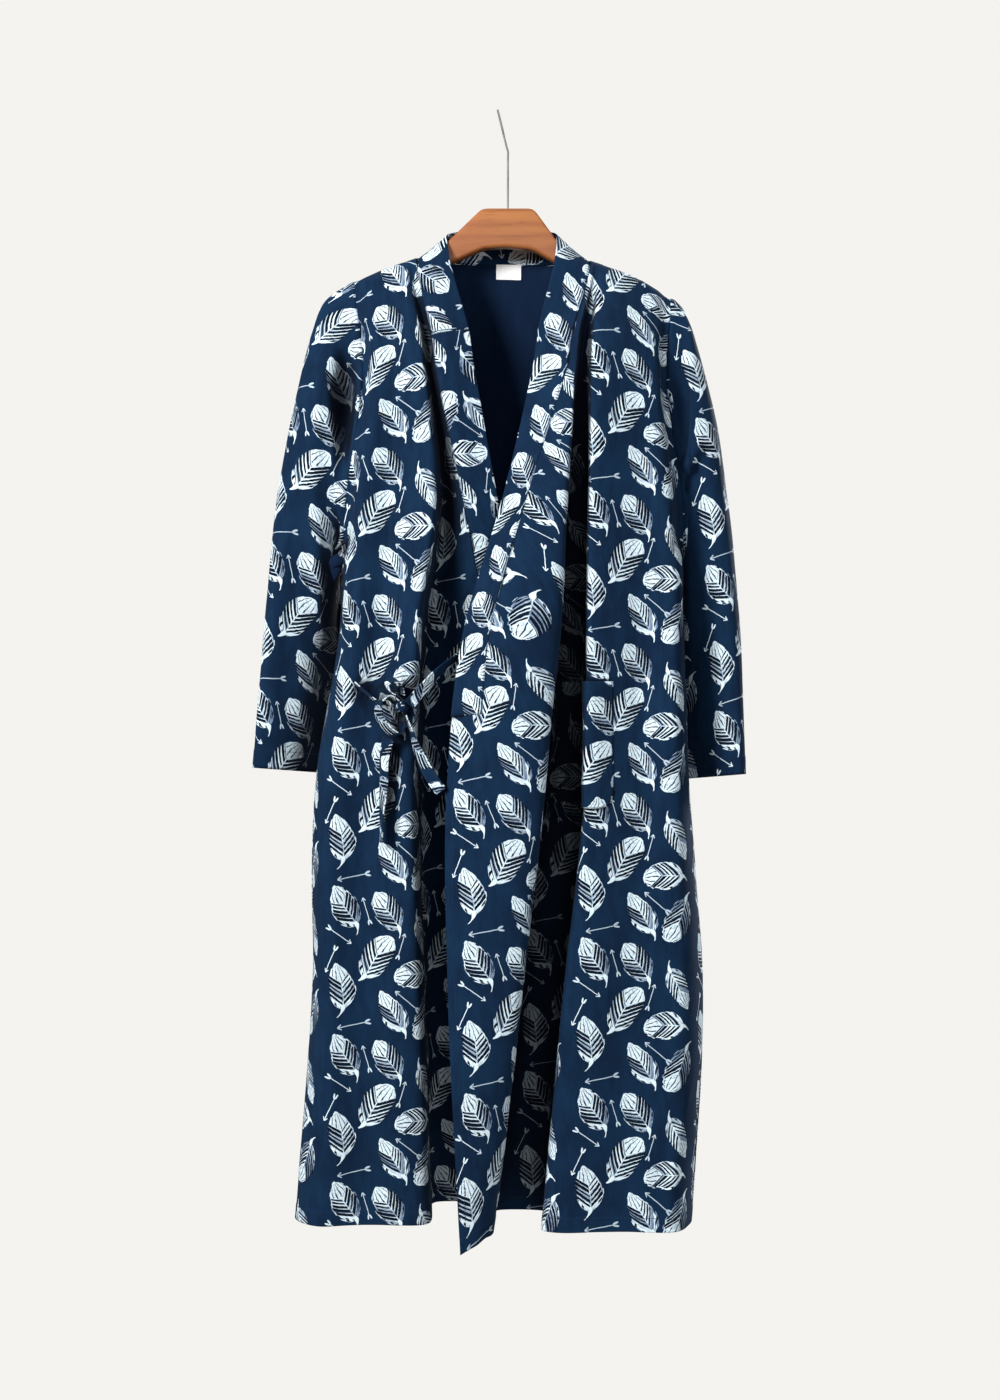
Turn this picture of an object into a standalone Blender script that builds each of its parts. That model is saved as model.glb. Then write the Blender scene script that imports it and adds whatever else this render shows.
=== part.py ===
"""A cotton yukata robe on a wooden hanger, lapped left over right and tied at its right side.

The robe hangs from the hook. The origin is the inside of the hook's top, +Z is up, +X is the
wearer's left (the right-hand side seen from the front) and the front faces -Y. Tables are in
millimetres. Each panel of cloth is a sheet that runs through named fold lines: a line gives its
place (x, y) at a few drops below the shoulder seam, and the sheet is a smooth surface through them.
"""

import math

import bmesh
import bpy
import numpy as np

MM = 0.001
FRONT, BACKWARD = -1.0, 1.0  # the way a panel faces along Y

# Walls and gaps
CLOTH = 1.6
BAND = 2.4
TIE = 1.4
SEAM = 0.3
CLEAR = 0.4  # more room where the edges of two walls meet at an angle

# Lengths, as drops below the shoulder seam at the neck
NECK_Z = -165.0
HEM_DROP = 1049.0
ARMHOLE_DROP = 315.0
BAND_DROP = 500.0
CHEST_DROP = 125.0
LEVEL_OUT = 180.0  # the shoulder's slope dies away over this drop
SHOULDER_ROUND = 14.0
ROUND_FADE = 26.0  # the shoulder seam is rounded less where the neck takes it back, none this far back
NECK_EASE = 12.0  # how steeply a fold line leaves the shoulder seam
ARMHOLE_HALF_DEPTH = 25.0
ARMHOLE_SQUARENESS = 0.4
UNDERARM_TURN = 30.0  # the drop over which the panels' edges turn from the sleeve to each other
UNDERARM_EASE = 80.0  # the drop over which the side seam finds its own place
TIP_START = 900.0
TIP_DROP = 14.0  # the lapping corner hangs lower than the hem
STATIONS = (0.0, CHEST_DROP, 265.0, 415.0, 575.0, 785.0, HEM_DROP)

# The shoulder seam's height by x, from one sleeve to the other
SHOULDER_X = (-157, -129, -103, -90, 102, 112, 130, 148, 166, 189)
SHOULDER_Z = (-187, -174, -164.5, -160, -163, -167, -173, -180, -190, -206)

# Fold lines of each panel: x, then y, at each station. The first station is the shoulder seam.
# The lapping front, from its opening edge to its side seam.
LEFT_FRONT = {
    "edge": ((66, 41, 7, -37, -54, -53, -40), (-2, -38, -42, -62, -78, -88, -92)),
    "seam": ((102, 76, 33, -8, -18, -20, -22), (0, -52, -64, -84, -88, -90, -86)),
    "strip_crest": ((104, 84, 72, 62, 45, 20, -12), (0, -62, -73, -84, -86, -84, -76)),
    "valley_inner": ((107, 90, 78, 70, 53, 27, 2), (0, -48, -30, -5, 8, 16, 25)),
    "valley_outer": ((110, 95, 96, 101, 102, 80, 50), (0, -48, -28, -2, 10, 18, 25)),
    "panel_crest": ((113, 100, 96, 94, 94, 73, 48), (0, -58, -58, -60, -60, -60, -54)),
    "trough": ((150, 150, 157, 160, 161, 152, 136), (0, -50, -48, -42, -44, -52, -56)),
    "side_crest": ((174, 172, 184, 189, 191, 198, 192), (0, -44, -47, -50, -52, -55, -56)),
    "side": ((189, 184, 201, 204, 210, 224, 212), (0, 0, 0, -4, -5, -5, -8)),
}
# The front underneath, from its opening edge to its side seam.
RIGHT_FRONT = {
    "edge": ((-57, -29, -2, 30, 62, 72, 78), (-2, -34, -32, -4, 22, 36, 50)),
    "seam": ((-90, -69, -39, -9, 22, 32, 38), (0, -38, -34, 2, 28, 43, 57)),
    "underlap": ((-92, -71, -48, -40, -30, -20, -14), (0, -34, -26, 8, 31, 48, 62)),
    "valley": ((-95, -74, -57, -72, -77, -74, -68), (0, -30, -18, 8, 24, 38, 60)),
    "crest": ((-100, -80, -67, -88, -95, -88, -79), (0, -44, -50, -52, -50, -48, -30)),
    "trough": ((-128, -114, -118, -128, -144, -147, -151), (0, -38, -37, -36, -38, -36, -30)),
    "side_crest": ((-145, -132, -147, -154, -176, -181, -195), (0, -40, -42, -44, -46, -44, -38)),
    "side": ((-157, -146, -166, -174, -200, -204, -223), (0, 0, 0, 0, 0, 0, 0)),
}
# The back, from the wearer's left side seam to the right one. It starts on the shoulder seams
# and on the neck seam between them.
BACK = {
    "side_left": ((189, 184, 201, 204, 210, 224, 212), (0, 0, 0, -4, -5, -5, -8)),
    "return_left": ((165, 166, 180, 180, 184, 194, 184), (0, 31, 24, 20, 22, 28, 36)),
    "crest_1": ((130, 136, 143, 141, 144, 150, 146), (0, 37, 45, 55, 66, 80, 98)),
    "neck_left": ((102, 99, 102, 98, 98, 100, 98), (0, 34, 37, 41, 47, 61, 83)),
    "crest_2": ((55, 53, 52, 48, 46, 46, 48), (26, 37, 47, 59, 72, 88, 104)),
    "middle": ((6, 6, 4, 0, -4, -6, -2), (30, 35, 38, 43, 51, 65, 85)),
    "crest_3": ((-42, -41, -42, -46, -52, -56, -54), (26, 37, 46, 58, 71, 86, 102)),
    "neck_right": ((-90, -86, -84, -90, -98, -102, -104), (0, 34, 37, 41, 47, 61, 83)),
    "crest_4": ((-112, -113, -122, -126, -140, -146, -152), (0, 37, 43, 53, 63, 78, 96)),
    "return_right": ((-138, -134, -149, -155, -175, -179, -196), (0, 30, 22, 19, 22, 28, 36)),
    "side_right": ((-157, -146, -166, -174, -200, -204, -223), (0, 0, 0, 0, 0, 0, 0)),
}
EDGE_START_Z = -134.0  # the band's top edge where it crosses the shoulder
# The band's top edge round the back of the neck: x, y, z at the back's lines between its necks
BACK_NECK_EDGE = (
    (66, -2, EDGE_START_Z),
    (50, 20, -126),
    (6, 31, -123),
    (-38, 20, -126),
    (-57, -2, EDGE_START_Z),
)

# Sleeve rings after the armhole: outer point, inner point, half depth, turn towards the body
RIGHT_SLEEVE = (
    ((-170, -1, -193), (-175, 4, -488), 24, 0),
    ((-188, -2, -207), (-174, 16, -500), 31, 0),
    ((-204, -4, -244), (-170, 29, -519), 34, 5),
    ((-220, -6, -310), (-166, 40, -550), 32, 12),
    ((-238, -8, -412), (-163, 53, -599), 27, 25),
    ((-254, -8, -562), (-157, 70, -663), 21, 35),
    ((-268, -5, -720), (-150, 88, -733), 17, 41),
)
LEFT_SLEEVE = (
    ((200, -1, -212), (212, 4, -490), 24, 0),
    ((209, -2, -229), (211, 16, -502), 31, 0),
    ((221, -4, -266), (209, 30, -522), 34, 5),
    ((237, -6, -330), (204, 42, -555), 32, 12),
    ((250, -8, -428), (197, 53, -605), 27, 25),
    ((263, -8, -572), (189, 70, -669), 21, 35),
    ((270, -5, -727), (177, 86, -739), 17, 41),
)
SLEEVE_FULLNESS = 0.75

# Patch pocket on the lapping front: its drops, and its two sides counted in that front's fold lines
POCKET_DROPS = (465.0, 499.6, 575.0, 600.0)
POCKET_LINES = (3.0, 3.5, 4.0, 4.5, 5.0, 5.25, 5.5)
POCKET_LIFT = 2.8

# Size label inside the back of the neck
LABEL_LEFT, LABEL_RIGHT = -2.0, 26.0
LABEL_TOP, LABEL_BOTTOM = 1.0, 18.0
LABEL = 0.6

# Ties: centre lines of their flat straps, and which way the strap's width points at each end
TIE_WIDTH = 13.0
KNOT = (-103.0, -62.0, -653.0)
KNOT_HALF = (7.5, 6.5, 8.5)
STRAPS = {
    "tie_side": (
        ((-153, -50, -628), (-141, -53, -638), (-129, -56, -647), (-118, -60, -650)),
        (0.3, -0.9, 0.5),
        (0.3, -0.6, 0.8),
    ),
    "tie_front": (
        ((-94, -63, -647), (-79, -62, -633), (-63, -60, -617), (-49, -56, -604), (-37, -52, -593)),
        (0.7, 0.0, 0.7),
        (0.5, 0.6, 0.6),
    ),
    "bow_loop_lower": (
        (
            (-113, -67, -651),
            (-121, -70, -652),
            (-127, -71, -661),
            (-123, -70, -673),
            (-114, -68, -682),
            (-110, -63, -681),
            (-106, -58, -668),
        ),
        (0.5, -0.8, 0.3),
        (0.5, -0.8, 0.3),
    ),
    "bow_loop_upper": (
        (
            (-109, -66, -639),
            (-116, -67, -635),
            (-118, -67, -628),
            (-110, -66, -626),
            (-104, -65, -632),
            (-103, -64, -640),
        ),
        (0.4, -0.85, -0.3),
        (0.4, -0.85, -0.3),
    ),
    "tie_tail_left": (
        ((-119, -59, -694), (-121, -58, -712), (-121, -58, -740), (-124, -58, -770), (-124, -57, -800)),
        (0.9, -0.2, 0.0),
        (0.4, -0.9, 0.0),
    ),
    "tie_tail_right": (
        ((-96, -69, -664), (-92, -70, -683), (-86, -73, -704), (-74, -78, -722), (-60, -85, -741)),
        (0.8, -0.2, 0.4),
        (0.8, 0.1, 0.7),
    ),
}

# Wooden hanger: x, top, bottom and half depth of each section, from end to end
HANGER = (
    (-172, -204, -212, 4),
    (-166, -199, -217, 7),
    (-150, -190, -213, 9.5),
    (-120, -177.5, -201, 10),
    (-95, -169, -190, 9.5),
    (-75, -162, -181, 7.5),
    (-57, -144.5, -169, 8),
    (-19, -107.5, -152, 7.5),
    (-14, -106, -150.5, 7.5),
    (9, -106, -149, 7.5),
    (35, -106, -151.5, 7.5),
    (40, -107.5, -153, 7.5),
    (68, -146, -169, 8),
    (86, -164.5, -182, 8.5),
    (100, -171, -191, 9.5),
    (130, -181, -204, 10),
    (166, -198, -220, 9.5),
    (184, -212, -228, 7),
    (191, -219, -226, 4),
)
HANGER_CORNER = 3.5

# Wire hook: a straight neck, then an open loop that leans so that its top stands over the origin
WIRE_RADIUS = 1.6
HOOK_X = 11.0
WOOD_TOP_Z = -106.0
NECK_POINTS_Z = (WOOD_TOP_Z, -85.0, -65.0, -50.0)
NECK_TOP_Z = -43.0
HOLE_DEPTH = 14.0
LOOP_START_DEGREES = 50
LOOP_RADIUS = 21.5
LOOP_END_DEGREES = 300


# ---------------------------------------------------------------- surfaces


def hermite(values, steps, tangents, places):
    """Cubic curves through values (knots, rows, axes), read at places (count, rows) in knots."""
    knot = np.clip(np.floor(places).astype(int), 0, len(values) - 2)
    u = (places - knot)[..., None]
    row = np.broadcast_to(np.arange(values.shape[1]), knot.shape)
    step = np.broadcast_to(steps, (len(steps), values.shape[1], 1))[knot, row]
    return (
        (1 + 2 * u) * (1 - u) ** 2 * values[knot, row]
        + u * (1 - u) ** 2 * step * tangents[knot, row]
        + u * u * (3 - 2 * u) * values[knot + 1, row]
        - u * u * (1 - u) * step * tangents[knot + 1, row]
    )


def spline(values, places, first=None, last=None):
    """Smooth curves through values, as hermite reads them; first and last are their end directions."""
    chords = np.diff(values, axis=0)
    steps = np.linalg.norm(chords, axis=-1, keepdims=True) + 1e-6
    slopes = chords / steps
    inner = (slopes[:-1] * steps[1:] + slopes[1:] * steps[:-1]) / (steps[:-1] + steps[1:])
    first = slopes[:1] if first is None else first[None]
    last = slopes[-1:] if last is None else last[None]
    return hermite(values, steps, np.concatenate([first, inner, last]), places)


def along(drops, values):
    """Values given at STATIONS, read at any drops by a smooth curve."""
    knots = np.array(STATIONS)
    places = np.interp(drops, knots, np.arange(len(knots)))[:, None]
    table = np.stack([knots, np.array(values, float)], axis=-1)[:, None, :]
    steps = np.diff(knots)[:, None, None]
    slopes = np.diff(table, axis=0) / steps
    inner = (slopes[:-1] * steps[1:] + slopes[1:] * steps[:-1]) / (steps[:-1] + steps[1:])
    tangents = np.concatenate([slopes[:1], inner, slopes[-1:]])
    return hermite(table, steps, tangents, places)[:, 0, 1]


def smoothstep(q):
    q = np.clip(q, 0.0, 1.0)
    return q * q * (3 - 2 * q)


def armhole_half_depth(drops):
    """How far the armhole's front or back stands from its middle plane: zero at top and bottom."""
    q = np.clip(drops / ARMHOLE_DROP, 0.0, 1.0)
    return ARMHOLE_HALF_DEPTH * np.sin(math.pi * q) ** ARMHOLE_SQUARENESS * (q < 1.0)


def fold_line(name, line, drops, facing):
    """The points of one fold line, at a row of drops."""
    xs, ys = line
    lower = np.maximum(drops, CHEST_DROP)
    above_chest = drops < CHEST_DROP
    x = np.where(above_chest, xs[0] + (xs[1] - xs[0]) * smoothstep(drops / CHEST_DROP), along(lower, xs))
    quarter_turn = np.minimum(drops / SHOULDER_ROUND, math.pi / 2)
    if is_side(name):
        own_y = along(np.maximum(drops, STATIONS[3]), ys) * smoothstep((drops - ARMHOLE_DROP) / UNDERARM_EASE)
        y = own_y + facing * armhole_half_depth(drops)
    else:
        rounding = SHOULDER_ROUND * max(0.0, 1 - abs(ys[0]) / ROUND_FADE)
        begun = smoothstep(NECK_EASE / (CHEST_DROP + NECK_EASE))
        eased = (smoothstep((drops + NECK_EASE) / (CHEST_DROP + NECK_EASE)) - begun) / (1 - begun)
        stand_out = rounding * np.sin(quarter_turn) + (facing * (ys[1] - ys[0]) - rounding) * eased
        y = np.where(above_chest, ys[0] + facing * stand_out, along(lower, ys))
    start_z = EDGE_START_Z if name == "edge" else np.interp(xs[0], SHOULDER_X, SHOULDER_Z)
    z = NECK_Z - drops + (start_z - NECK_Z) * np.exp(-drops / LEVEL_OUT)
    if abs(ys[0]) < 1:
        bent = SHOULDER_ROUND * (quarter_turn - 1 + np.cos(quarter_turn))
        z += bent * (1 - smoothstep(drops / HEM_DROP))
    return np.stack([x, y, z], axis=-1)


def is_side(name):
    return name in ("side", "side_left", "side_right")


def panel(lines, facing):
    """A function of (s, drops) that gives the panel's middle surface, s counted in fold lines."""
    names = list(lines)

    def surface(s, drops):
        """s is a row of places, or a grid of them with a column for each drop."""
        rows = np.stack([fold_line(name, line, drops, facing) for name, line in lines.items()])
        if np.ndim(s) == 1:
            s = np.repeat(np.asarray(s, float)[:, None], len(drops), axis=1)
        ends = [None, None]
        free = smoothstep((drops - ARMHOLE_DROP) / UNDERARM_TURN + 0.5)[:, None]
        for end, name, onward in ((0, names[0], -1.0), (1, names[-1], 1.0)):
            if is_side(name):
                outward = math.copysign(1.0, lines[name][0][0])
                to_sleeve = np.array([onward * outward, 0.0, 0.0])
                to_panel = np.array([0.0, -onward * facing, 0.0])
                ends[end] = to_sleeve * (1 - free) + to_panel * free
        grid = spline(rows, s, *ends)
        if lines is LEFT_FRONT:
            low = smoothstep((drops - TIP_START) / (HEM_DROP - TIP_START)) * TIP_DROP
            grid[..., 2] -= low * np.clip(1 - s / 2, 0, 1) ** 1.5
        return grid

    return surface


def with_normals(surface, s, drops, s_end):
    """The surface's points at a grid and its unit normals, from small steps either way."""
    s_step, drop_step = 0.02, 0.4
    low, high = np.maximum(s - s_step, 0), np.minimum(s + s_step, s_end)
    across = surface(high, drops) - surface(low, drops)
    above, below = np.maximum(drops - drop_step, 0), np.minimum(drops + drop_step, HEM_DROP)
    down = surface(s, below) - surface(s, above)
    return surface(s, drops), unit(np.cross(across, down))


def unit(vectors):
    return vectors / np.linalg.norm(vectors, axis=-1, keepdims=True)


def draw_in(grid, border, by):
    """Moves one border of a grid inwards by a distance, along the grid."""
    own, inner = {
        "first": (grid[0], grid[1]),
        "last": (grid[-1], grid[-2]),
        "top": (grid[:, 0], grid[:, 1]),
        "bottom": (grid[:, -1], grid[:, -2]),
    }[border]
    own += by * unit(inner - own)


# ---------------------------------------------------------------- meshes


def material(name, colour, roughness, metallic=0.0):
    made = bpy.data.materials.new(name)
    made.use_nodes = True
    shader = made.node_tree.nodes["Principled BSDF"]
    shader.inputs["Base Color"].default_value = (*colour, 1.0)
    shader.inputs["Roughness"].default_value = roughness
    shader.inputs["Metallic"].default_value = metallic
    return made


def mesh_object(name, points, faces, finish, smooth=True):
    mesh = bpy.data.meshes.new(name)
    mesh.from_pydata((np.asarray(points) * MM).tolist(), [], faces)
    made = bmesh.new()
    made.from_mesh(mesh)
    bmesh.ops.recalc_face_normals(made, faces=made.faces)
    made.to_mesh(mesh)
    made.free()
    if smooth:
        mesh.shade_smooth()
        mesh.set_sharp_from_angle(angle=math.radians(50))
    mesh.materials.append(finish)
    obj = bpy.data.objects.new(name, mesh)
    bpy.context.collection.objects.link(obj)
    return obj


def wall(name, grid, normals, thickness, finish, ring=False):
    """A sheet given thickness: both faces and the rim. A ring joins its last column to its first."""
    columns, rows = grid.shape[:2]
    layers = [grid + normals * thickness / 2, grid - normals * thickness / 2]
    points = np.concatenate([layer.reshape(-1, 3) for layer in layers])

    def at(layer, i, j):
        return layer * columns * rows + (i % columns) * rows + j

    faces = []
    for i in range(columns if ring else columns - 1):
        for j in range(rows - 1):
            for layer in (0, 1):
                quad = [at(layer, i, j), at(layer, i + 1, j), at(layer, i + 1, j + 1), at(layer, i, j + 1)]
                faces.append(quad[::-1] if layer else quad)
        for j in (0, rows - 1):
            faces.append([at(0, i, j), at(0, i + 1, j), at(1, i + 1, j), at(1, i, j)])
    for i in () if ring else (0, columns - 1):
        for j in range(rows - 1):
            faces.append([at(0, i, j), at(0, i, j + 1), at(1, i, j + 1), at(1, i, j)])
    return mesh_object(name, points, faces, finish)


# ---------------------------------------------------------------- the robe


left_front = panel(LEFT_FRONT, FRONT)
right_front = panel(RIGHT_FRONT, FRONT)
back = panel(BACK, BACKWARD)

# The drops of each panel's rows of points
ARMHOLE_ROWS = (0, 6, 13, 22, 45, 85, 125, 170, 215, 255, 285, 304, 315)
BODY_ROWS = (345, 415, 465, 499.6, 500.4, 575, 600, 680, 785, 860, 950, HEM_DROP)
BACK_ROWS = (345, 415, 495, 575, 680, 785, 915, HEM_DROP)
UNDER_ROWS = (345, 415, 499.6, 500.4, 575, 680, 785, 915, HEM_DROP)
# The columns between each two fold lines of the fronts
LEFT_SPLITS = (1, 2, 3, 2, 2, 4, 2, 3)
RIGHT_SPLITS = (1, 2, 2, 2, 3, 3, 3)
BAND_ROWS = (0, 8, 20, 45, 85, 125, 170, 215, 255, 304, 345, 415, 465, 499.2)
BAND_COLUMNS = (0.0, 0.34, 0.67, 1.0)
BACK_NECK_COLUMNS = 13
SLEEVE_ROWS = (0, 0.5, 1, 1.5, 2, 3, 4, 5, 6, 7)
JOIN = (SEAM + CLEAR) / 2


def front(name, surface, lines, lower_rows, splits, finish):
    """A front panel. Its inner border is the band's seam and, below the band, the opening edge."""
    drops = np.array(ARMHOLE_ROWS + lower_rows, float)
    above = drops < BAND_DROP
    inner = np.where(above, 1.0, 0.0)
    last = len(lines) - 1
    columns = [inner + (2 - inner) * step / splits[1] for step in range(splits[1])]
    for k in range(2, last):
        columns += [np.full(len(drops), k + step / splits[k]) for step in range(splits[k])]
    columns.append(np.full(len(drops), float(last)))
    grid, normals = with_normals(surface, np.stack(columns), drops, last)
    draw_in(grid, "top", JOIN)
    draw_in(grid, "last", JOIN)
    drawn = grid.copy()
    draw_in(drawn, "first", SEAM / 2)
    grid[:, above] = drawn[:, above]
    return wall(name, grid, normals, CLOTH, finish)


def back_panel(finish):
    drops = np.array(ARMHOLE_ROWS + BACK_ROWS, float)
    last = len(BACK) - 1
    places = np.repeat(np.arange(0, last + 0.5, 0.5)[:, None], len(drops), 1)
    grid, normals = with_normals(back, places, drops, last)
    for border in ("top", "first", "last"):
        draw_in(grid, border, JOIN)
    return wall("back", grid, normals, CLOTH, finish)


def collar(finish):
    """The band: up the lapping front, round the back of the neck and down the front underneath."""
    widths = np.array(BAND_COLUMNS)
    drops = np.array(BAND_ROWS, float)
    up_left = left_front(widths, drops)[:, ::-1]
    down_right = right_front(widths, drops)
    first, last = list(BACK).index("neck_left"), list(BACK).index("neck_right")
    places = np.linspace(first, last, BACK_NECK_COLUMNS + 2)[1:-1]
    seam = back(places, np.array([0.0]))[:, 0]
    edge = spline(np.array(BACK_NECK_EDGE, float)[:, None, :], (places - first)[:, None])[:, 0]
    round_back = edge + (seam - edge) * widths[:, None, None]
    grid = np.concatenate([up_left, round_back, down_right], axis=1)
    draw_in(grid, "last", 2 * JOIN)
    normals = unit(np.cross(np.gradient(grid, axis=0), np.gradient(grid, axis=1)))
    return wall("collar", grid, normals, BAND, finish)


def sleeve(name, rings, front_surface, front_lines, side_name, finish):
    """A closed tube from the armhole to the cuff."""
    rows = np.array(ARMHOLE_ROWS, float)
    front_side = front_surface(np.array([len(front_lines) - 1.0]), rows)[0]
    back_side = back(np.array([float(list(BACK).index(side_name))]), rows)[0]
    armhole = np.concatenate([front_side, back_side[-2:0:-1]])
    angles = np.concatenate([rows, (2 * ARMHOLE_DROP - rows)[-2:0:-1]]) * math.pi / ARMHOLE_DROP
    cosine = np.cos(angles)[:, None]
    swell = (np.sign(np.sin(angles)) * np.abs(np.sin(angles)) ** SLEEVE_FULLNESS)[:, None]
    outward = math.copysign(1.0, rings[0][0][0])
    stations = [armhole]
    for outer, inner, half_depth, turn in rings:
        outer, inner = np.array(outer, float), np.array(inner, float)
        lean = math.radians(turn)
        face = np.array([-outward * math.sin(lean), -math.cos(lean), 0.0]) * half_depth
        stations.append((outer + inner) / 2 + cosine * (outer - inner) / 2 + swell * face)
    places = np.repeat(np.array(SLEEVE_ROWS, float)[:, None], len(angles), 1)
    start = np.broadcast_to(np.array([outward, 0.0, 0.0]), armhole.shape)
    tube = spline(np.stack(stations), places, first=start)
    tube[0, :, 0] += outward * (SEAM / 2 + CLEAR)
    grid = tube.transpose(1, 0, 2)
    round_ring = np.roll(grid, -1, axis=0) - np.roll(grid, 1, axis=0)
    normals = unit(np.cross(round_ring, np.gradient(grid, axis=1)))
    return wall(name, grid, normals, CLOTH, finish, ring=True)


def pocket(finish):
    """A patch on the lapping front, made from the panel's own points and moved out."""
    drops = np.array(POCKET_DROPS)
    places = np.repeat(np.array(POCKET_LINES)[:, None], len(drops), 1)
    grid, normals = with_normals(left_front, places, drops, len(LEFT_FRONT) - 1)
    outwards = normals * math.copysign(1.0, -normals[-1, 0, 1])
    return wall("pocket", grid + outwards * POCKET_LIFT, normals, CLOTH, finish)


def size_label(finish):
    """A small blank label on the inside of the back, just under the neck seam."""
    drops = np.linspace(LABEL_TOP, LABEL_BOTTOM, 3)
    middle = list(BACK).index("middle")
    near = np.linspace(middle - 1.0, middle + 1.0, 200)
    near_x = back(near, np.array([LABEL_TOP]))[:, 0, 0]
    places = np.interp(np.linspace(LABEL_RIGHT, LABEL_LEFT, 4), near_x[::-1], near[::-1])
    grid, normals = with_normals(back, np.repeat(places[:, None], 3, 1), drops, len(BACK) - 1)
    inwards = normals * math.copysign(1.0, -normals[0, 0, 1])
    return wall("size_label", grid + inwards * (CLOTH / 2 + SEAM + LABEL / 2), normals, LABEL, finish)


def strap(name, path, width_start, width_end, finish):
    """A flat strap along a smooth path; its width turns steadily from one direction to the other."""
    count = 3 * (len(path) - 1) + 1
    points = np.array(path, float)[:, None, :]
    centre = spline(points, np.linspace(0, len(path) - 1, count)[:, None])[:, 0]
    ahead = unit(np.gradient(centre, axis=0))
    share = np.linspace(0, 1, count)[:, None]
    wide = np.array(width_start) * (1 - share) + np.array(width_end) * share
    wide = unit(wide - ahead * np.sum(wide * ahead, axis=-1, keepdims=True))
    grid = np.stack([centre - wide * TIE_WIDTH / 2, centre + wide * TIE_WIDTH / 2])
    normals = np.broadcast_to(np.cross(wide, ahead), grid.shape)
    return wall(name, grid, normals, TIE, finish)


def knot(finish):
    mesh = bpy.data.meshes.new("bow_knot")
    made = bmesh.new()
    bmesh.ops.create_icosphere(made, subdivisions=2, radius=1.0)
    bmesh.ops.scale(made, vec=[h * MM for h in KNOT_HALF], verts=made.verts)
    made.to_mesh(mesh)
    made.free()
    mesh.shade_smooth()
    mesh.materials.append(finish)
    obj = bpy.data.objects.new("bow_knot", mesh)
    obj.location = [c * MM for c in KNOT]
    bpy.context.collection.objects.link(obj)
    return obj


# ---------------------------------------------------------------- the hanger


def hanger(finish):
    """The wooden bow: rounded sections lofted from one end to the other, drilled for the wire."""
    turns = [math.radians(a) for a in (0, 30, 60, 90)]
    rings = []
    for x, top, bottom, half in HANGER:
        corner = min(HANGER_CORNER, half - 0.5, (top - bottom) / 2 - 0.5)
        ring = []
        for quarter, (back_side, up) in enumerate(((1, 1), (-1, 1), (-1, -1), (1, -1))):
            y = back_side * (half - corner)
            z = (top + bottom) / 2 + up * ((top - bottom) / 2 - corner)
            for turn in turns:
                angle = turn + quarter * math.pi / 2
                ring.append((x, y + corner * math.cos(angle), z + corner * math.sin(angle)))
        rings.append(ring)
    size = len(rings[0])
    points = [p for ring in rings for p in ring]
    faces = [list(range(size))[::-1], [len(points) - size + i for i in range(size)]]
    for k in range(len(rings) - 1):
        for i in range(size):
            j = (i + 1) % size
            faces.append([k * size + i, k * size + j, (k + 1) * size + j, (k + 1) * size + i])
    wood = mesh_object("hanger_wood", points, faces, finish)
    bpy.ops.mesh.primitive_cylinder_add(
        vertices=24,
        radius=(WIRE_RADIUS + SEAM) * MM,
        depth=2 * HOLE_DEPTH * MM,
        location=(HOOK_X * MM, 0.0, WOOD_TOP_Z * MM),
    )
    drill = bpy.context.object
    drill.name = "drill"
    drill.hide_render = True
    drill.display_type = "WIRE"
    cut = wood.modifiers.new("hole", "BOOLEAN")
    cut.operation = "DIFFERENCE"
    cut.object = drill
    return wood


def hook(finish):
    """A wire neck and an open loop over it. The loop's plane runs front to back and leans sideways."""
    rise = WIRE_RADIUS - NECK_TOP_Z
    lean = math.atan2(HOOK_X, rise)
    centre_up = math.hypot(HOOK_X, rise) - LOOP_RADIUS
    neck_bottom = WOOD_TOP_Z - HOLE_DEPTH + SEAM
    points = [(HOOK_X, 0.0, z) for z in (neck_bottom, *NECK_POINTS_Z)]

    def on_loop(back_and_forth, up):
        return (HOOK_X - up * math.sin(lean), back_and_forth, NECK_TOP_Z + up * math.cos(lean))

    points.append(on_loop(LOOP_RADIUS * 0.3, 1.5))
    for degrees in range(LOOP_START_DEGREES, LOOP_END_DEGREES + 1, 10):
        turn = math.radians(degrees)
        points.append(on_loop(LOOP_RADIUS * math.sin(turn), centre_up - LOOP_RADIUS * math.cos(turn)))
    curve = bpy.data.curves.new("hanger_hook", "CURVE")
    curve.dimensions = "3D"
    curve.bevel_depth = WIRE_RADIUS * MM
    curve.bevel_resolution = 2
    curve.use_fill_caps = True
    path = curve.splines.new("POLY")
    path.points.add(len(points) - 1)
    for place, point in zip(path.points, points):
        place.co = (*[c * MM for c in point], 1.0)
    curve.materials.append(finish)
    obj = bpy.data.objects.new("hanger_hook", curve)
    bpy.context.collection.objects.link(obj)
    return obj


def main():
    for obj in list(bpy.data.objects):
        bpy.data.objects.remove(obj, do_unlink=True)
    cotton = material("printed_cotton", (0.02, 0.05, 0.13), 0.85)
    white = material("label_white", (0.85, 0.85, 0.83), 0.7)
    wood = material("hanger_wood", (0.42, 0.16, 0.05), 0.4)
    steel = material("hook_steel", (0.5, 0.5, 0.5), 0.35, 1.0)

    front("front_left", left_front, LEFT_FRONT, BODY_ROWS, LEFT_SPLITS, cotton)
    front("front_right", right_front, RIGHT_FRONT, UNDER_ROWS, RIGHT_SPLITS, cotton)
    back_panel(cotton)
    collar(cotton)
    sleeve("sleeve_left", LEFT_SLEEVE, left_front, LEFT_FRONT, "side_left", cotton)
    sleeve("sleeve_right", RIGHT_SLEEVE, right_front, RIGHT_FRONT, "side_right", cotton)
    pocket(cotton)
    size_label(white)
    for name, (path, start, end) in STRAPS.items():
        strap(name, path, start, end, cotton)
    knot(cotton)
    hanger(wood)
    hook(steel)


main()
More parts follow.
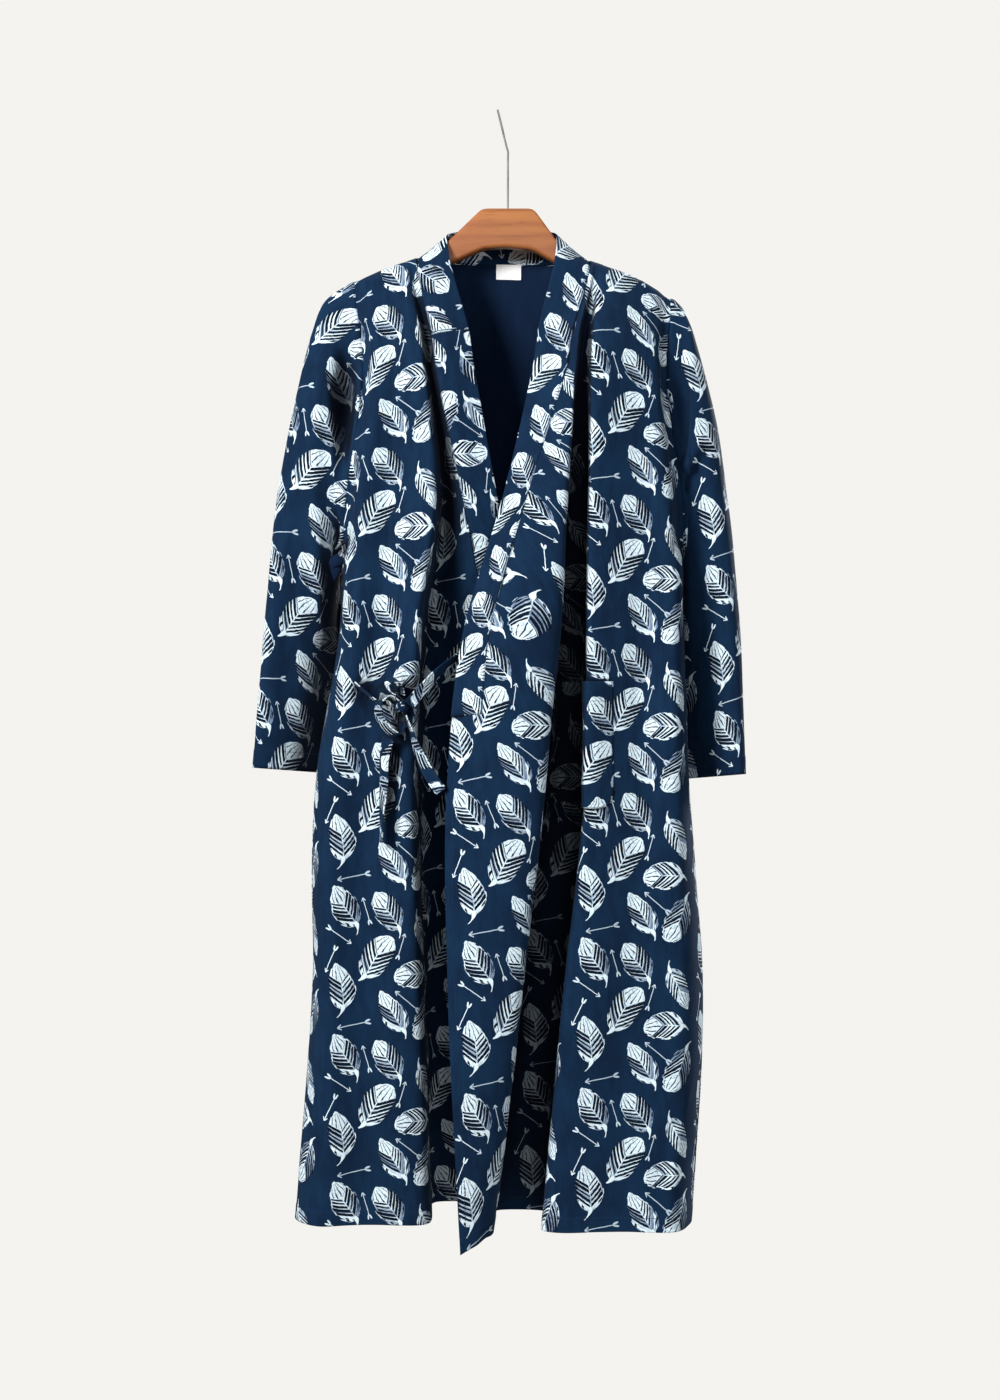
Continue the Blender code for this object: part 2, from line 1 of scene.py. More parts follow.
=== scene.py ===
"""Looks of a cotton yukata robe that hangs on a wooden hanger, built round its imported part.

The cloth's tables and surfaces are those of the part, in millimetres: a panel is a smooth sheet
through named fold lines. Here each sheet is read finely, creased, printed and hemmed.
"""

import math
from contextlib import contextmanager
from functools import partialmethod

import bmesh
import bpy
import numpy as np
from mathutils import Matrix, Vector
from mathutils.bvhtree import BVHTree


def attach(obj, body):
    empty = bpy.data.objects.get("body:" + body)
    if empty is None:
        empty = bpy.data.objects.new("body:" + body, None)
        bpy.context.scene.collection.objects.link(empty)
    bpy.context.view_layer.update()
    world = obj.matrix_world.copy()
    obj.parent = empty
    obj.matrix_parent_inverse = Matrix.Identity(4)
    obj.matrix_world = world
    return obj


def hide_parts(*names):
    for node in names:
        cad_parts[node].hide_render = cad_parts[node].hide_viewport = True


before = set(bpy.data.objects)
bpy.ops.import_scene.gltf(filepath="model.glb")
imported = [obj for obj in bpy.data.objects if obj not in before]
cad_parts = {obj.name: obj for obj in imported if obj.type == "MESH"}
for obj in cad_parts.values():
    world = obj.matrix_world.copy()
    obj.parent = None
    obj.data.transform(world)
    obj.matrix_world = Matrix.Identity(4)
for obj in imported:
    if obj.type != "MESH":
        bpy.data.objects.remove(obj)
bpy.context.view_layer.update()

MM = 0.001
FRONT, BACKWARD = -1.0, 1.0  # the way a panel faces along Y
TO_FRONT = np.array([0.0, FRONT, 0.0])



def added(name, data):
    """A new object in the scene."""
    obj = bpy.data.objects.new(name, data)
    bpy.context.scene.collection.objects.link(obj)
    return obj


@contextmanager
def edited(mesh):
    """A mesh's geometry, open to edits and then written back."""
    geometry = bmesh.new()
    geometry.from_mesh(mesh)
    yield geometry
    geometry.to_mesh(mesh)
    geometry.free()


# ---------------------------------------------------------------- camera, lights and floor

LOOK_AT = (0.0022, 0.0, -0.6457)
CAMERA_DISTANCE = 2.0
VIEW_HEIGHT = 1.54  # how much of the middle plane the picture's height takes in
SENSOR = 36.0


def stand_camera():
    camera = bpy.data.cameras.new("camera")
    camera.sensor_width = SENSOR
    camera.lens = SENSOR * CAMERA_DISTANCE / VIEW_HEIGHT
    seat = added("camera", camera)
    seat.location = (LOOK_AT[0], LOOK_AT[1] - CAMERA_DISTANCE, LOOK_AT[2])
    seat.rotation_euler = (math.pi / 2, 0, 0)
    bpy.context.scene.camera = seat


# Soft boxes: place, aimed at the robe's middle; size in metres; watts; colour
SOFT_BOXES = {
    "key": ((-1.85, -2.05, 0.6), 1.0, 128, (1.0, 0.99, 0.97)),
    "front": ((0.3, -2.9, 0.5), 1.4, 16, (0.97, 0.98, 1.0)),
    "fill": ((2.2, -1.9, -0.3), 1.6, 22, (0.93, 0.97, 1.0)),
    "top": ((0.2, 0.6, 1.6), 1.6, 12, (1.0, 1.0, 1.0)),
    "rear": ((2.0, 1.7, 0.4), 1.1, 90, (1.0, 0.99, 0.97)),
}
BACKDROP = (0.905, 0.893, 0.862)
AMBIENT = 0.085


def light_scene():
    target = added("light_target", None)
    target.location = LOOK_AT
    for name, (place, size, watts, colour) in SOFT_BOXES.items():
        light = bpy.data.lights.new(name, "AREA")
        light.shape, light.size, light.energy, light.color = "DISK", size, watts, colour
        lamp = added(name, light)
        lamp.location = place
        aim = lamp.constraints.new("TRACK_TO")
        aim.target, aim.track_axis, aim.up_axis = target, "TRACK_NEGATIVE_Z", "UP_Y"
    world = bpy.data.worlds.new("studio")
    world.use_nodes = True
    bpy.context.scene.world = world
    tree = world.node_tree
    tree.nodes.clear()
    seen = made(tree, "Background", (*BACKDROP, 1))
    lit = made(tree, "Background", (*BACKDROP, 1), AMBIENT)
    shown = made(tree, "LightPath", output="Is Camera Ray")
    feed(tree.nodes.new("ShaderNodeOutputWorld").inputs[0], made(tree, "MixShader", shown, lit, seen))
    bpy.context.scene.view_settings.view_transform = "Standard"


FLOOR_Z, FLOOR_RADIUS = -2.0, 1.1
FLOOR_COLOUR = (0.62, 0.61, 0.59)


def lay_floor():
    mesh = bpy.data.meshes.new("floor")
    with edited(mesh) as disk:
        bmesh.ops.create_circle(disk, cap_ends=True, segments=96, radius=FLOOR_RADIUS)
    floor = added("floor", mesh)
    floor.location = (LOOK_AT[0], 0, FLOOR_Z)
    floor.data.materials.append(plain("floor_pale", FLOOR_COLOUR, 0.9))


# ---------------------------------------------------------------- shader arithmetic


class Wire:
    """A value in a node tree, so that shader arithmetic reads as ordinary arithmetic."""

    def __init__(self, tree, socket):
        self.tree, self.socket = tree, socket

    def math(self, operation, *others):
        return made(self.tree, "Math", self, *others, operation=operation)

    __add__ = partialmethod(math, "ADD")
    __sub__ = partialmethod(math, "SUBTRACT")
    __mul__ = partialmethod(math, "MULTIPLY")
    __truediv__ = partialmethod(math, "DIVIDE")
    __pow__ = partialmethod(math, "POWER")
    above = partialmethod(math, "GREATER_THAN")
    below = partialmethod(math, "LESS_THAN")
    most = partialmethod(math, "MAXIMUM")
    least = partialmethod(math, "MINIMUM")
    size = partialmethod(math, "ABSOLUTE")
    whole = partialmethod(math, "FLOOR")
    sine = partialmethod(math, "SINE")

    def flipped(self):
        """One minus the value."""
        return self * -1.0 + 1.0

    def step(self, low, high):
        """0 below low, 1 above high, smooth between them."""
        return made(self.tree, "MapRange", self, low, high, interpolation_type="SMOOTHSTEP")


def feed(socket, value):
    """Sets a socket to a number or a colour, or links a wire into it."""
    if isinstance(value, Wire):
        value.tree.links.new(value.socket, socket)
    else:
        socket.default_value = value


def set_inputs(node, **values):
    """Feeds a node's inputs by name; Coat_Weight feeds Coat Weight."""
    for name, value in values.items():
        feed(node.inputs[name.replace("_", " ")], value)


def made(tree, kind, *values, output=0, **settings):
    """One output of a new node, with its first inputs fed in order."""
    node = tree.nodes.new(f"ShaderNode{kind}")
    for setting, value in settings.items():
        setattr(node, setting, value)
    for socket, value in zip(node.inputs, values):
        feed(socket, value)
    return Wire(tree, node.outputs[output])


def vector_math(operation, *values, output=0):
    return made(values[0].tree, "VectorMath", *values, output=output, operation=operation)


def mixed(share, first, second, kind="RGBA"):
    """first where share is 0 and second where it is 1; kind is RGBA or VECTOR."""
    slot, output = {"RGBA": (6, 2), "VECTOR": (4, 1)}[kind]
    blend = made(share.tree, "Mix", share, output=output, data_type=kind)
    feed(blend.socket.node.inputs[slot], first)
    feed(blend.socket.node.inputs[slot + 1], second)
    return blend


def split(vector):
    node = made(vector.tree, "SeparateXYZ", vector).socket.node
    return [Wire(vector.tree, socket) for socket in node.outputs]


def joined(x, y, z):
    return made(x.tree, "CombineXYZ", x, y, z)


def noise(vector, scale, detail=2.0, roughness=0.5):
    clouds = made(vector.tree, "TexNoise", output="Fac")
    set_inputs(clouds.socket.node, Vector=vector, Scale=scale, Detail=detail, Roughness=roughness)
    return clouds


def chance(x, y, z=0.0):
    """A number from 0 to 1 that is the same wherever the three values are."""
    return made(x.tree, "TexWhiteNoise", joined(x, y, z), output="Value")


def uv_map(tree, name):
    return made(tree, "UVMap", uv_map=name)


def object_place(tree):
    return made(tree, "TexCoord", output="Object")


def new_material(name):
    material = bpy.data.materials.new(name)
    material.use_nodes = True
    return material, material.node_tree, material.node_tree.nodes["Principled BSDF"]


def plain(name, colour, roughness):
    material, _, shader = new_material(name)
    set_inputs(shader, Base_Color=(*colour, 1), Roughness=roughness)
    return material


def bump(shader, height, distance, strength=1.0, below=None):
    """Raises a surface by a height; below is the bump that it stands on."""
    normal = made(height.tree, "Bump")
    set_inputs(normal.socket.node, Distance=distance, Strength=strength, Height=height)
    if below is not None:
        set_inputs(normal.socket.node, Normal=below)
    set_inputs(shader, Normal=normal)
    return normal


# ---------------------------------------------------------------- the print

REPEAT = (0.147, 0.159)  # metres across and down
# The leaves of one repeat: place across and up in mm, angle from stem to tip, length, width, pointedness
LEAVES = (
    ((0, 0), 130, 49, 30, 0.55),
    ((49, -4), 129, 47, 29, 0.30),
    ((97, -33), -57, 48, 25, 0.70),
    ((36, -53), 62, 54, 31, 0.15),
    ((79, -71), 178, 44, 28, 0.20),
    ((-2, -84), 98, 50, 30, 0.60),
    ((54, -111), 119, 50, 28, 0.75),
    ((97, -120), -112, 51, 30, 0.15),
)
# The arrows between them: place, angle from tail to head, length
ARROWS = (
    ((25, -4), 107, 28),
    ((-4, -31), -35, 31),
    ((-15, -57), -115, 29),
    ((65, -41), 73, 27),
    ((71, -100), 141, 33),
    ((10, -127), 190, 35),
)
LEAF_STEM = 0.17  # beyond the leaf's base, in leaf lengths
CAP = 0.55  # where the fan of the tip begins on the midrib
CHEVRONS = 9.2


def nearest(place, motifs, squeeze):
    """Local coordinates of the motif nearest to a place: x along it, y across it.

    z holds the motif's number as a whole and its pointedness as a fraction."""
    best, best_far = None, None
    for number, (centre, angle, length, width, point) in enumerate(motifs):
        moved = vector_math("ADD", place, (-centre[0] * MM, -centre[1] * MM, 0))
        half = (REPEAT[0] / 2, REPEAT[1] / 2, 0)
        wrapped = vector_math("WRAP", moved, half, [-h for h in half])
        move, turn = (0, 0, -1.0 - number - point), (0, 0, math.radians(angle))
        size = (length * MM, width * MM, 1)
        here = made(place.tree, "Mapping", wrapped, move, turn, size, vector_type="TEXTURE")
        flat = vector_math("MULTIPLY", here, (1, squeeze, 0))
        far = vector_math("LENGTH", flat, output=1)
        if best is None:
            best, best_far = here, far
        else:
            best = mixed(far.below(best_far), best, here, kind="VECTOR")
            best_far = best_far.least(far)
    return best


def leaf_ink(place):
    """The white of the leaves, and the deep dye left between its strokes.

    A leaf is a block-cut one: chevrons on either side of a midrib, a fan at the tip, a curved stem."""
    local = nearest(place, LEAVES, 1.0)
    x, y, code = split(local)
    number = code.whole()
    point = code - number
    along = x + 0.5
    nature, turn = chance(number, 7.0), chance(number, 23.0)
    wobble = noise(local, 9.0, 3.0) - 0.5
    # the midrib bends towards the tip and towards the base, each leaf in its own way
    y = y + (along - 0.3).most(0.0) ** 2.0 * (nature - 0.5) * 0.80 + wobble * 0.02
    y = y + (along * -1.0 + 0.35).most(0.0) ** 2.0 * (turn - 0.5) * 1.6
    aside = y.size()
    side = y.above(0.0)
    half_leaf = side + number * 3.0

    # chevrons: which one a place is in, counted from the base
    vein = along - aside * 0.50 - aside * aside * turn * 1.1 + wobble * 0.035
    count = (vein + number * 0.137 + side * 0.021) * CHEVRONS
    stripe = count.whole()
    luck = chance(stripe, half_leaf)
    grey = chance(stripe + 40.0, half_leaf)

    # the outline, which the ends of the strokes make ragged
    inner = along.most(0.0001).least(0.9999)
    half = inner ** 0.56 * inner.flipped() ** (point * 0.55 + 0.47) * (point * 0.22 + 1.11)
    depth = half - aside + wobble * 0.06 + (luck - 0.5) * 0.075
    body = depth.step(0.0, 0.012) * along.above(0.0) * along.below(1.0)

    # the gaps between strokes, and what closes them
    within = (count - stripe - 0.5).size() + wobble * 0.16
    gap = (within - luck * 0.22 + 0.11).below(aside * 0.30 + 0.26)
    blank = chance(stripe + 80.0, number).above(0.88)
    rim = depth.below(0.045) * chance(number, side).above(0.45)
    middle = aside.below(0.018)
    gap = gap * blank.flipped() * rim.flipped() * middle.flipped() * vein.above(0.03)

    # the fan at the tip, and the teeth along the base
    meridian = y / (half + 0.03)
    spoke = (meridian * 2.7 + number * 0.37 + wobble * 0.5).math("PINGPONG", 0.5)
    fan_gap = spoke.below(luck * 0.08 + 0.07) * depth.above(0.035) * along.below(0.95)
    cap = vein.above(CAP)
    cap_edge = (vein - CAP).size().below(0.020)
    teeth = (meridian.math("ARCTANGENT") * 16.0 + along * 30.0).sine().above(0.35)
    teeth = teeth * depth.below(0.10) * vein.below(0.03) * depth.above(0.02)
    dark = (gap * cap.flipped()).most(fan_gap * cap * cap_edge.flipped() * 0.85).most(teeth)

    # ink taken unevenly: streaks along the strokes, grey ones, and worn spots
    strokes = noise(joined(vein * 46.0, y * 5.0, number), 1.0, 3.0, 0.65).step(0.40, 0.72)
    shade = grey.step(0.45, 0.8) * 0.50 * cap.flipped()
    blot = noise(local, 16.0, 4.0, 0.7).step(0.48, 0.72)
    white = shade.flipped() * (blot * -0.28 + 1.0) * (strokes * -0.48 + 1.0)
    leaf = body * dark.flipped() * white

    # the stem
    bend = along.least(0.0)
    thin = (along.size() * -9.0 + 1.0).most(0.0) * 0.06 + 0.024
    stem = (y - bend * bend * 6.0).size().below(thin) * along.above(-LEAF_STEM) * along.below(0.08)
    return leaf.most(stem * 0.85), body * dark


def arrow_ink(place):
    """The white of the arrows: a thin shaft, an open head and a fletching like a split heart."""
    motifs = [(centre, angle, length, length, 0.5) for centre, angle, length in ARROWS]
    local = nearest(place, motifs, 2.2)
    x, y, code = split(local)
    number = code.whole()
    wobble = (noise(local, 5.0, 2.0) - 0.5) * 0.05
    aside = (y + wobble * 0.5).size()
    shaft = aside.below(0.014) * x.above(-0.44) * x.below(0.47)
    barb = (aside - (x * -1.0 + 0.49) * 0.60).size().below(0.019)
    head = barb * x.above(0.36) * x.below(0.49)
    lobe_along = (x + 0.43 + aside * 1.3 + wobble) / 0.078
    lobe_aside = (aside - 0.047) / 0.040
    feather = (lobe_along * lobe_along + lobe_aside * lobe_aside).below(1.0)
    faint = chance(number, number).step(0.0, 1.0) * 0.35
    return shaft.most(head).most(feather) * (faint * -1.0 + 0.95)


# ---------------------------------------------------------------- finishes

NAVY = (0.0022, 0.0128, 0.0380, 1)
NAVY_WORN = (0.0040, 0.0225, 0.0600, 1)
DEEP_DYE = (0.0009, 0.0032, 0.0110, 1)
WRONG_SIDE = (0.0022, 0.0092, 0.0330, 1)
INK = (0.74, 0.88, 0.96, 1)
INK_THIN = (0.13, 0.20, 0.32, 1)
THREAD = (0.010, 0.030, 0.075, 1)
# Painted shade in the folds: the printed cotton darkens towards this near-black navy where cloth shuts a
# place in
FOLD_SHADE = (0.0006, 0.0018, 0.0065, 1)
FOLD_RANGE = (0.10, 0.42)  # how shut in a place is where the painted shade of a fold starts and is full
FOLD_SHADE_STRENGTH = 0.90
STITCH_PITCH, STITCH_LENGTH, STITCH_WIDTH = 0.0034, 0.66, 0.00035
YARNS_PER_METRE = 2600.0


def weave(tree):
    """The height of a plain weave of fine yarns."""
    across, down, _ = split(uv_map(tree, "print"))
    turn = math.pi * YARNS_PER_METRE
    warp = (across * turn).sine().size()
    weft = (down * turn).sine().size()
    return warp.most(weft)


def stitches(tree):
    """1 on the thread of a stitch line that runs along the border of a piece."""
    along, aside, _ = split(uv_map(tree, "sewing"))
    dash = (along / STITCH_PITCH).math("FRACT").below(STITCH_LENGTH)
    return (aside.size() / STITCH_WIDTH).step(0.6, 1.4).flipped() * dash


def cotton(name, printed):
    """Matt plain-weave cotton. The print, and a painted shade in the folds, lie on the right side only."""
    material, tree, shader = new_material(name)
    place = uv_map(tree, "print")
    uneven = noise(vector_math("MULTIPLY", place, (1, 0.25, 1)), 120.0, 4.0, 0.6)
    cloudy = noise(place, 14.0, 3.0, 0.55)
    if printed:
        ground = mixed((uneven * 0.5 + cloudy * 0.5).step(0.35, 0.65), NAVY, NAVY_WORN)
        leaves, deep = leaf_ink(place)
        ink = leaves.most(arrow_ink(place))
        ground = mixed(deep * 0.85, ground, DEEP_DYE)
        cover = mixed(ink.step(0.30, 0.95), INK_THIN, INK)
        colour = mixed(ink.step(0.05, 0.5), ground, cover)
        # painted shade: the colour darkens where the fold map says the cloth is shut in
        shut = split(uv_map(tree, "fold"))[0]
        colour = mixed(shut.step(*FOLD_RANGE) * FOLD_SHADE_STRENGTH, colour, FOLD_SHADE)
    else:
        colour = mixed(uneven.step(0.3, 0.7), WRONG_SIDE, NAVY)
    thread = stitches(tree)
    colour = mixed(thread * 0.8, colour, THREAD)
    set_inputs(shader, Base_Color=colour, Roughness=0.86, Specular_IOR_Level=0.10)
    set_inputs(shader, Sheen_Weight=0.03, Sheen_Roughness=0.5, Sheen_Tint=(0.65, 0.78, 1.0, 1))
    yarns = bump(shader, weave(tree), 0.00006, 0.55)
    bump(shader, thread, 0.0004, 0.9, below=yarns)
    return material


RIBS_DOWN, RIBS_ACROSS = 3600.0, 1500.0  # in two metres of the label's satin


def label_cloth():
    material, tree, shader = new_material("label_satin")
    across, down, _ = split(uv_map(tree, "print"))
    ribs = (down * (math.pi * RIBS_DOWN)).sine() * 0.5 + (across * (math.pi * RIBS_ACROSS)).sine() * 0.2
    soft = noise(uv_map(tree, "print"), 260.0, 3.0)
    colour = mixed(soft.step(0.3, 0.8), (0.90, 0.90, 0.90, 1), (0.97, 0.97, 0.97, 1))
    set_inputs(shader, Base_Color=colour, Roughness=soft * 0.2 + 0.42, Sheen_Weight=0.1)
    bump(shader, ribs, 0.00005, 0.5)
    return material


BOTTOM_DARKENING = (0.122, 0.156)  # metres below the hook's top, where the wood starts and stops growing darker towards the bottom


def stained_wood():
    """Orange-brown stain over a straight grain, under satin varnish."""
    material, tree, shader = new_material("stained_wood")
    place = object_place(tree)
    long_way = vector_math("MULTIPLY", place, (0.10, 1.0, 1.0))
    swirl = noise(long_way, 55.0, 3.0, 0.6)
    _, y, z = split(long_way)
    rings = ((z * 420.0 + y * 260.0 + swirl * 9.0).sine() * 0.5 + 0.5) ** 1.6
    longer = vector_math("MULTIPLY", place, (0.05, 1.0, 1.0))
    pores = noise(longer, 900.0, 2.0, 0.7).step(0.56, 0.66)
    drift = noise(place, 9.0, 1.0)
    light, dark = (0.42, 0.145, 0.030, 1), (0.25, 0.070, 0.013, 1)
    colour = mixed(rings * 0.55 + swirl * 0.25, light, dark)
    colour = mixed(drift.step(0.35, 0.7) * 0.35, colour, (0.40, 0.105, 0.028, 1))
    colour = mixed(pores * 0.35, colour, (0.12, 0.035, 0.012, 1))
    # the bow is drawn darker towards its bottom
    low = (z * -1.0 + swirl * 0.012).step(*BOTTOM_DARKENING)
    colour = mixed(low * 0.45, colour, (0.20, 0.058, 0.016, 1))
    set_inputs(shader, Base_Color=colour, Roughness=swirl * 0.12 + rings * 0.05 + 0.42)
    set_inputs(shader, Coat_Weight=0.12, Coat_Roughness=0.3)
    bump(shader, rings * 0.4 + pores * -0.8, 0.00008, 0.6)
    return material


def steel_wire():
    material, tree, shader = new_material("steel_wire")
    tarnish = noise(object_place(tree), 60.0, 2.0).step(0.35, 0.75)
    colour = mixed(tarnish, (0.22, 0.22, 0.215, 1), (0.17, 0.17, 0.165, 1))
    set_inputs(shader, Base_Color=colour, Roughness=tarnish * 0.08 + 0.55, Metallic=0.25)
    return material


# ---------------------------------------------------------------- the garment in numbers

# Walls of the solids
CLOTH = 1.6
TIE = 1.4

# Lengths, as drops below the shoulder seam at the neck
NECK_Z = -165.0
HEM_DROP = 1049.0
ARMHOLE_DROP = 315.0
BAND_DROP = 500.0
CHEST_DROP = 125.0
LEVEL_OUT = 180.0  # the shoulder's slope dies away over this drop
SHOULDER_ROUND = 14.0
ROUND_FADE = 26.0  # the shoulder seam is rounded less where the neck takes it back, none this far back
NECK_EASE = 12.0  # how steeply a fold line leaves the shoulder seam
ARMHOLE_HALF_DEPTH = 25.0
ARMHOLE_SQUARENESS = 0.4
UNDERARM_TURN = 30.0  # the drop over which the panels' edges turn from the sleeve to each other
UNDERARM_EASE = 80.0  # the drop over which the side seam finds its own place
TIP_START = 900.0
TIP_DROP = 14.0  # the lapping corner hangs lower than the hem
STATIONS = (0.0, CHEST_DROP, 265.0, 415.0, 575.0, 785.0, HEM_DROP)

# The shoulder seam's height by x, from one sleeve to the other
SHOULDER_X = (-157, -129, -103, -90, 102, 112, 130, 148, 166, 189)
SHOULDER_Z = (-187, -174, -164.5, -160, -163, -167, -173, -180, -190, -206)

# Fold lines of each panel: x, then y, at each station. The first station is the shoulder seam.
# The lapping front, from its opening edge to its side seam.
LEFT_FRONT = {
    "edge": ((66, 41, 7, -37, -54, -53, -40), (-2, -38, -42, -62, -78, -88, -92)),
    "seam": ((102, 76, 33, -8, -18, -20, -22), (0, -52, -64, -84, -88, -90, -86)),
    "strip_crest": ((104, 84, 72, 62, 45, 20, -12), (0, -62, -73, -84, -86, -84, -76)),
    "valley_inner": ((107, 90, 78, 70, 53, 27, 2), (0, -48, -30, -5, 8, 16, 25)),
    "valley_outer": ((110, 95, 96, 101, 102, 80, 50), (0, -48, -28, -2, 10, 18, 25)),
    "panel_crest": ((113, 100, 96, 94, 94, 73, 48), (0, -58, -58, -60, -60, -60, -54)),
    "trough": ((150, 150, 157, 160, 161, 152, 136), (0, -50, -48, -42, -44, -52, -56)),
    "side_crest": ((174, 172, 184, 189, 191, 198, 192), (0, -44, -47, -50, -52, -55, -56)),
    "side": ((189, 184, 201, 204, 210, 224, 212), (0, 0, 0, -4, -5, -5, -8)),
}
# The front underneath, from its opening edge to its side seam.
RIGHT_FRONT = {
    "edge": ((-57, -29, -2, 30, 62, 72, 78), (-2, -34, -32, -4, 22, 36, 50)),
    "seam": ((-90, -69, -39, -9, 22, 32, 38), (0, -38, -34, 2, 28, 43, 57)),
    "underlap": ((-92, -71, -48, -40, -30, -20, -14), (0, -34, -26, 8, 31, 48, 62)),
    "valley": ((-95, -74, -57, -72, -77, -74, -68), (0, -30, -18, 8, 24, 38, 60)),
    "crest": ((-100, -80, -67, -88, -95, -88, -79), (0, -44, -50, -52, -50, -48, -30)),
    "trough": ((-128, -114, -118, -128, -144, -147, -151), (0, -38, -37, -36, -38, -36, -30)),
    "side_crest": ((-145, -132, -147, -154, -176, -181, -195), (0, -40, -42, -44, -46, -44, -38)),
    "side": ((-157, -146, -166, -174, -200, -204, -223), (0, 0, 0, 0, 0, 0, 0)),
}
# The back, from the wearer's left side seam to the right one. It starts on the shoulder seams
# and on the neck seam between them.
BACK = {
    "side_left": LEFT_FRONT["side"],
    "return_left": ((165, 166, 180, 180, 184, 194, 184), (0, 31, 24, 20, 22, 28, 36)),
    "crest_1": ((130, 136, 143, 141, 144, 150, 146), (0, 37, 45, 55, 66, 80, 98)),
    "neck_left": ((102, 99, 102, 98, 98, 100, 98), (0, 34, 37, 41, 47, 61, 83)),
    "crest_2": ((55, 53, 52, 48, 46, 46, 48), (26, 37, 47, 59, 72, 88, 104)),
    "middle": ((6, 6, 4, 0, -4, -6, -2), (30, 35, 38, 43, 51, 65, 85)),
    "crest_3": ((-42, -41, -42, -46, -52, -56, -54), (26, 37, 46, 58, 71, 86, 102)),
    "neck_right": ((-90, -86, -84, -90, -98, -102, -104), (0, 34, 37, 41, 47, 61, 83)),
    "crest_4": ((-112, -113, -122, -126, -140, -146, -152), (0, 37, 43, 53, 63, 78, 96)),
    "return_right": ((-138, -134, -149, -155, -175, -179, -196), (0, 30, 22, 19, 22, 28, 36)),
    "side_right": RIGHT_FRONT["side"],
}
EDGE_START_Z = -134.0  # the band's top edge where it crosses the shoulder
# The band's top edge round the back of the neck: x, y, z at the back's lines between its necks
BACK_NECK_EDGE = (
    (66, -2, EDGE_START_Z),
    (50, 20, -126),
    (6, 31, -123),
    (-38, 20, -126),
    (-57, -2, EDGE_START_Z),
)

# Rings of a sleeve after its armhole: half depth, and turn towards the body in degrees
SLEEVE_RINGS = ((24, 0), (31, 0), (34, 5), (32, 12), (27, 25), (21, 35), (17, 41))
# Each ring's outer and inner point
RIGHT_SLEEVE = (
    ((-170, -1, -193), (-175, 4, -488)),
    ((-188, -2, -207), (-174, 16, -500)),
    ((-204, -4, -244), (-170, 29, -519)),
    ((-220, -6, -310), (-166, 40, -550)),
    ((-238, -8, -412), (-163, 53, -599)),
    ((-254, -8, -562), (-157, 70, -663)),
    ((-268, -5, -720), (-150, 88, -733)),
)
LEFT_SLEEVE = (
    ((200, -1, -212), (207, 4, -489)),
    ((209, -2, -229), (204, 16, -500)),
    ((221, -4, -266), (201, 30, -519)),
    ((237, -6, -330), (199, 42, -552)),
    ((250, -8, -428), (197, 53, -605)),
    ((263, -8, -572), (189, 70, -669)),
    ((270, -5, -727), (177, 86, -739)),
)
SLEEVE_FULLNESS = 0.75

# Patch pocket on the lapping front: its drops, and its two sides counted in that front's fold lines
POCKET_TOP, POCKET_BOTTOM = 465.0, 600.0
POCKET_SIDES = (3.0, 5.5)

# Size label inside the back of the neck
LABEL_LEFT, LABEL_RIGHT = -2.0, 26.0
LABEL_TOP, LABEL_BOTTOM = -1.5, 15.0
LABEL_ROWS, LABEL_COLUMNS = 25, 37

# Ties: centre lines of their flat straps, and which way the strap's width points at each end
TIE_WIDTH = 13.0
KNOT = (-103.0, -62.0, -653.0)
STRAPS = {
    "tie_side": (
        ((-153, -50, -628), (-141, -53, -638), (-129, -58, -647), (-118, -62, -650)),
        (0.1, -1.0, 0.15),
        (0.1, -1.0, 0.3),
    ),
    "tie_front": (
        ((-95, -66, -651), (-80, -66, -634), (-64, -63, -617), (-48, -58, -603), (-32, -56, -589)),
        (-0.6, -0.3, 0.7),
        (-0.1, -1.0, 0.3),
    ),
    "bow_loop_lower": (
        ((-108, -64, -648), (-117, -69, -643), (-126, -72, -651), (-125, -73, -665))
        + ((-117, -71, -677), (-107, -68, -683), (-101, -62, -669)),
        (0.55, -0.75, 0.30),
        (0.70, -0.60, 0.35),
    ),
    "bow_loop_upper": (
        ((-109, -66, -639), (-116, -68, -635), (-118, -69, -628))
        + ((-110, -68, -624), (-103, -66, -631), (-102, -64, -640)),
        (0.4, -0.85, -0.3),
        (0.4, -0.85, -0.3),
    ),
    "tie_tail_left": (
        ((-117, -60, -686), (-121, -59, -706), (-122, -58, -738), (-124, -58, -768), (-125, -57, -798)),
        (0.9, -0.3, 0.0),
        (0.2, -1.0, 0.0),
    ),
    "tie_tail_right": (
        ((-98, -68, -662), (-91, -70, -682), (-84, -72, -702), (-74, -77, -722), (-60, -84, -742)),
        (0.1, -1.0, 0.0),
        (0.85, 0.1, 0.6),
    ),
}

# Wooden hanger: x, top, bottom and half depth of each section, from end to end
HANGER = (
    (-172, -204, -212, 4),
    (-166, -199, -217, 7),
    (-150, -190, -213, 9.5),
    (-120, -177.5, -201, 10),
    (-95, -169, -190, 9.5),
    (-75, -162, -181, 7.5),
    (-57, -144.5, -169, 8),
    (-19, -107.5, -152, 7.5),
    (-14, -106, -150.5, 7.5),
    (9, -106, -149, 7.5),
    (35, -106, -151.5, 7.5),
    (40, -107.5, -153, 7.5),
    (68, -146, -169, 8),
    (86, -164.5, -182, 8.5),
    (100, -171, -191, 9.5),
    (130, -181, -204, 10),
    (166, -198, -220, 9.5),
    (184, -212, -228, 7),
    (191, -219, -226, 4),
)
HANGER_CORNER = 4.3  # drawn a little rounder than the solid's
HANGER_LEAST_FLAT = 0.4  # what a corner leaves of a side at the least
HANGER_EASE, HANGER_EASE_REACH = 3.2, 9  # the bow's outline is smoothed over this many millimetres

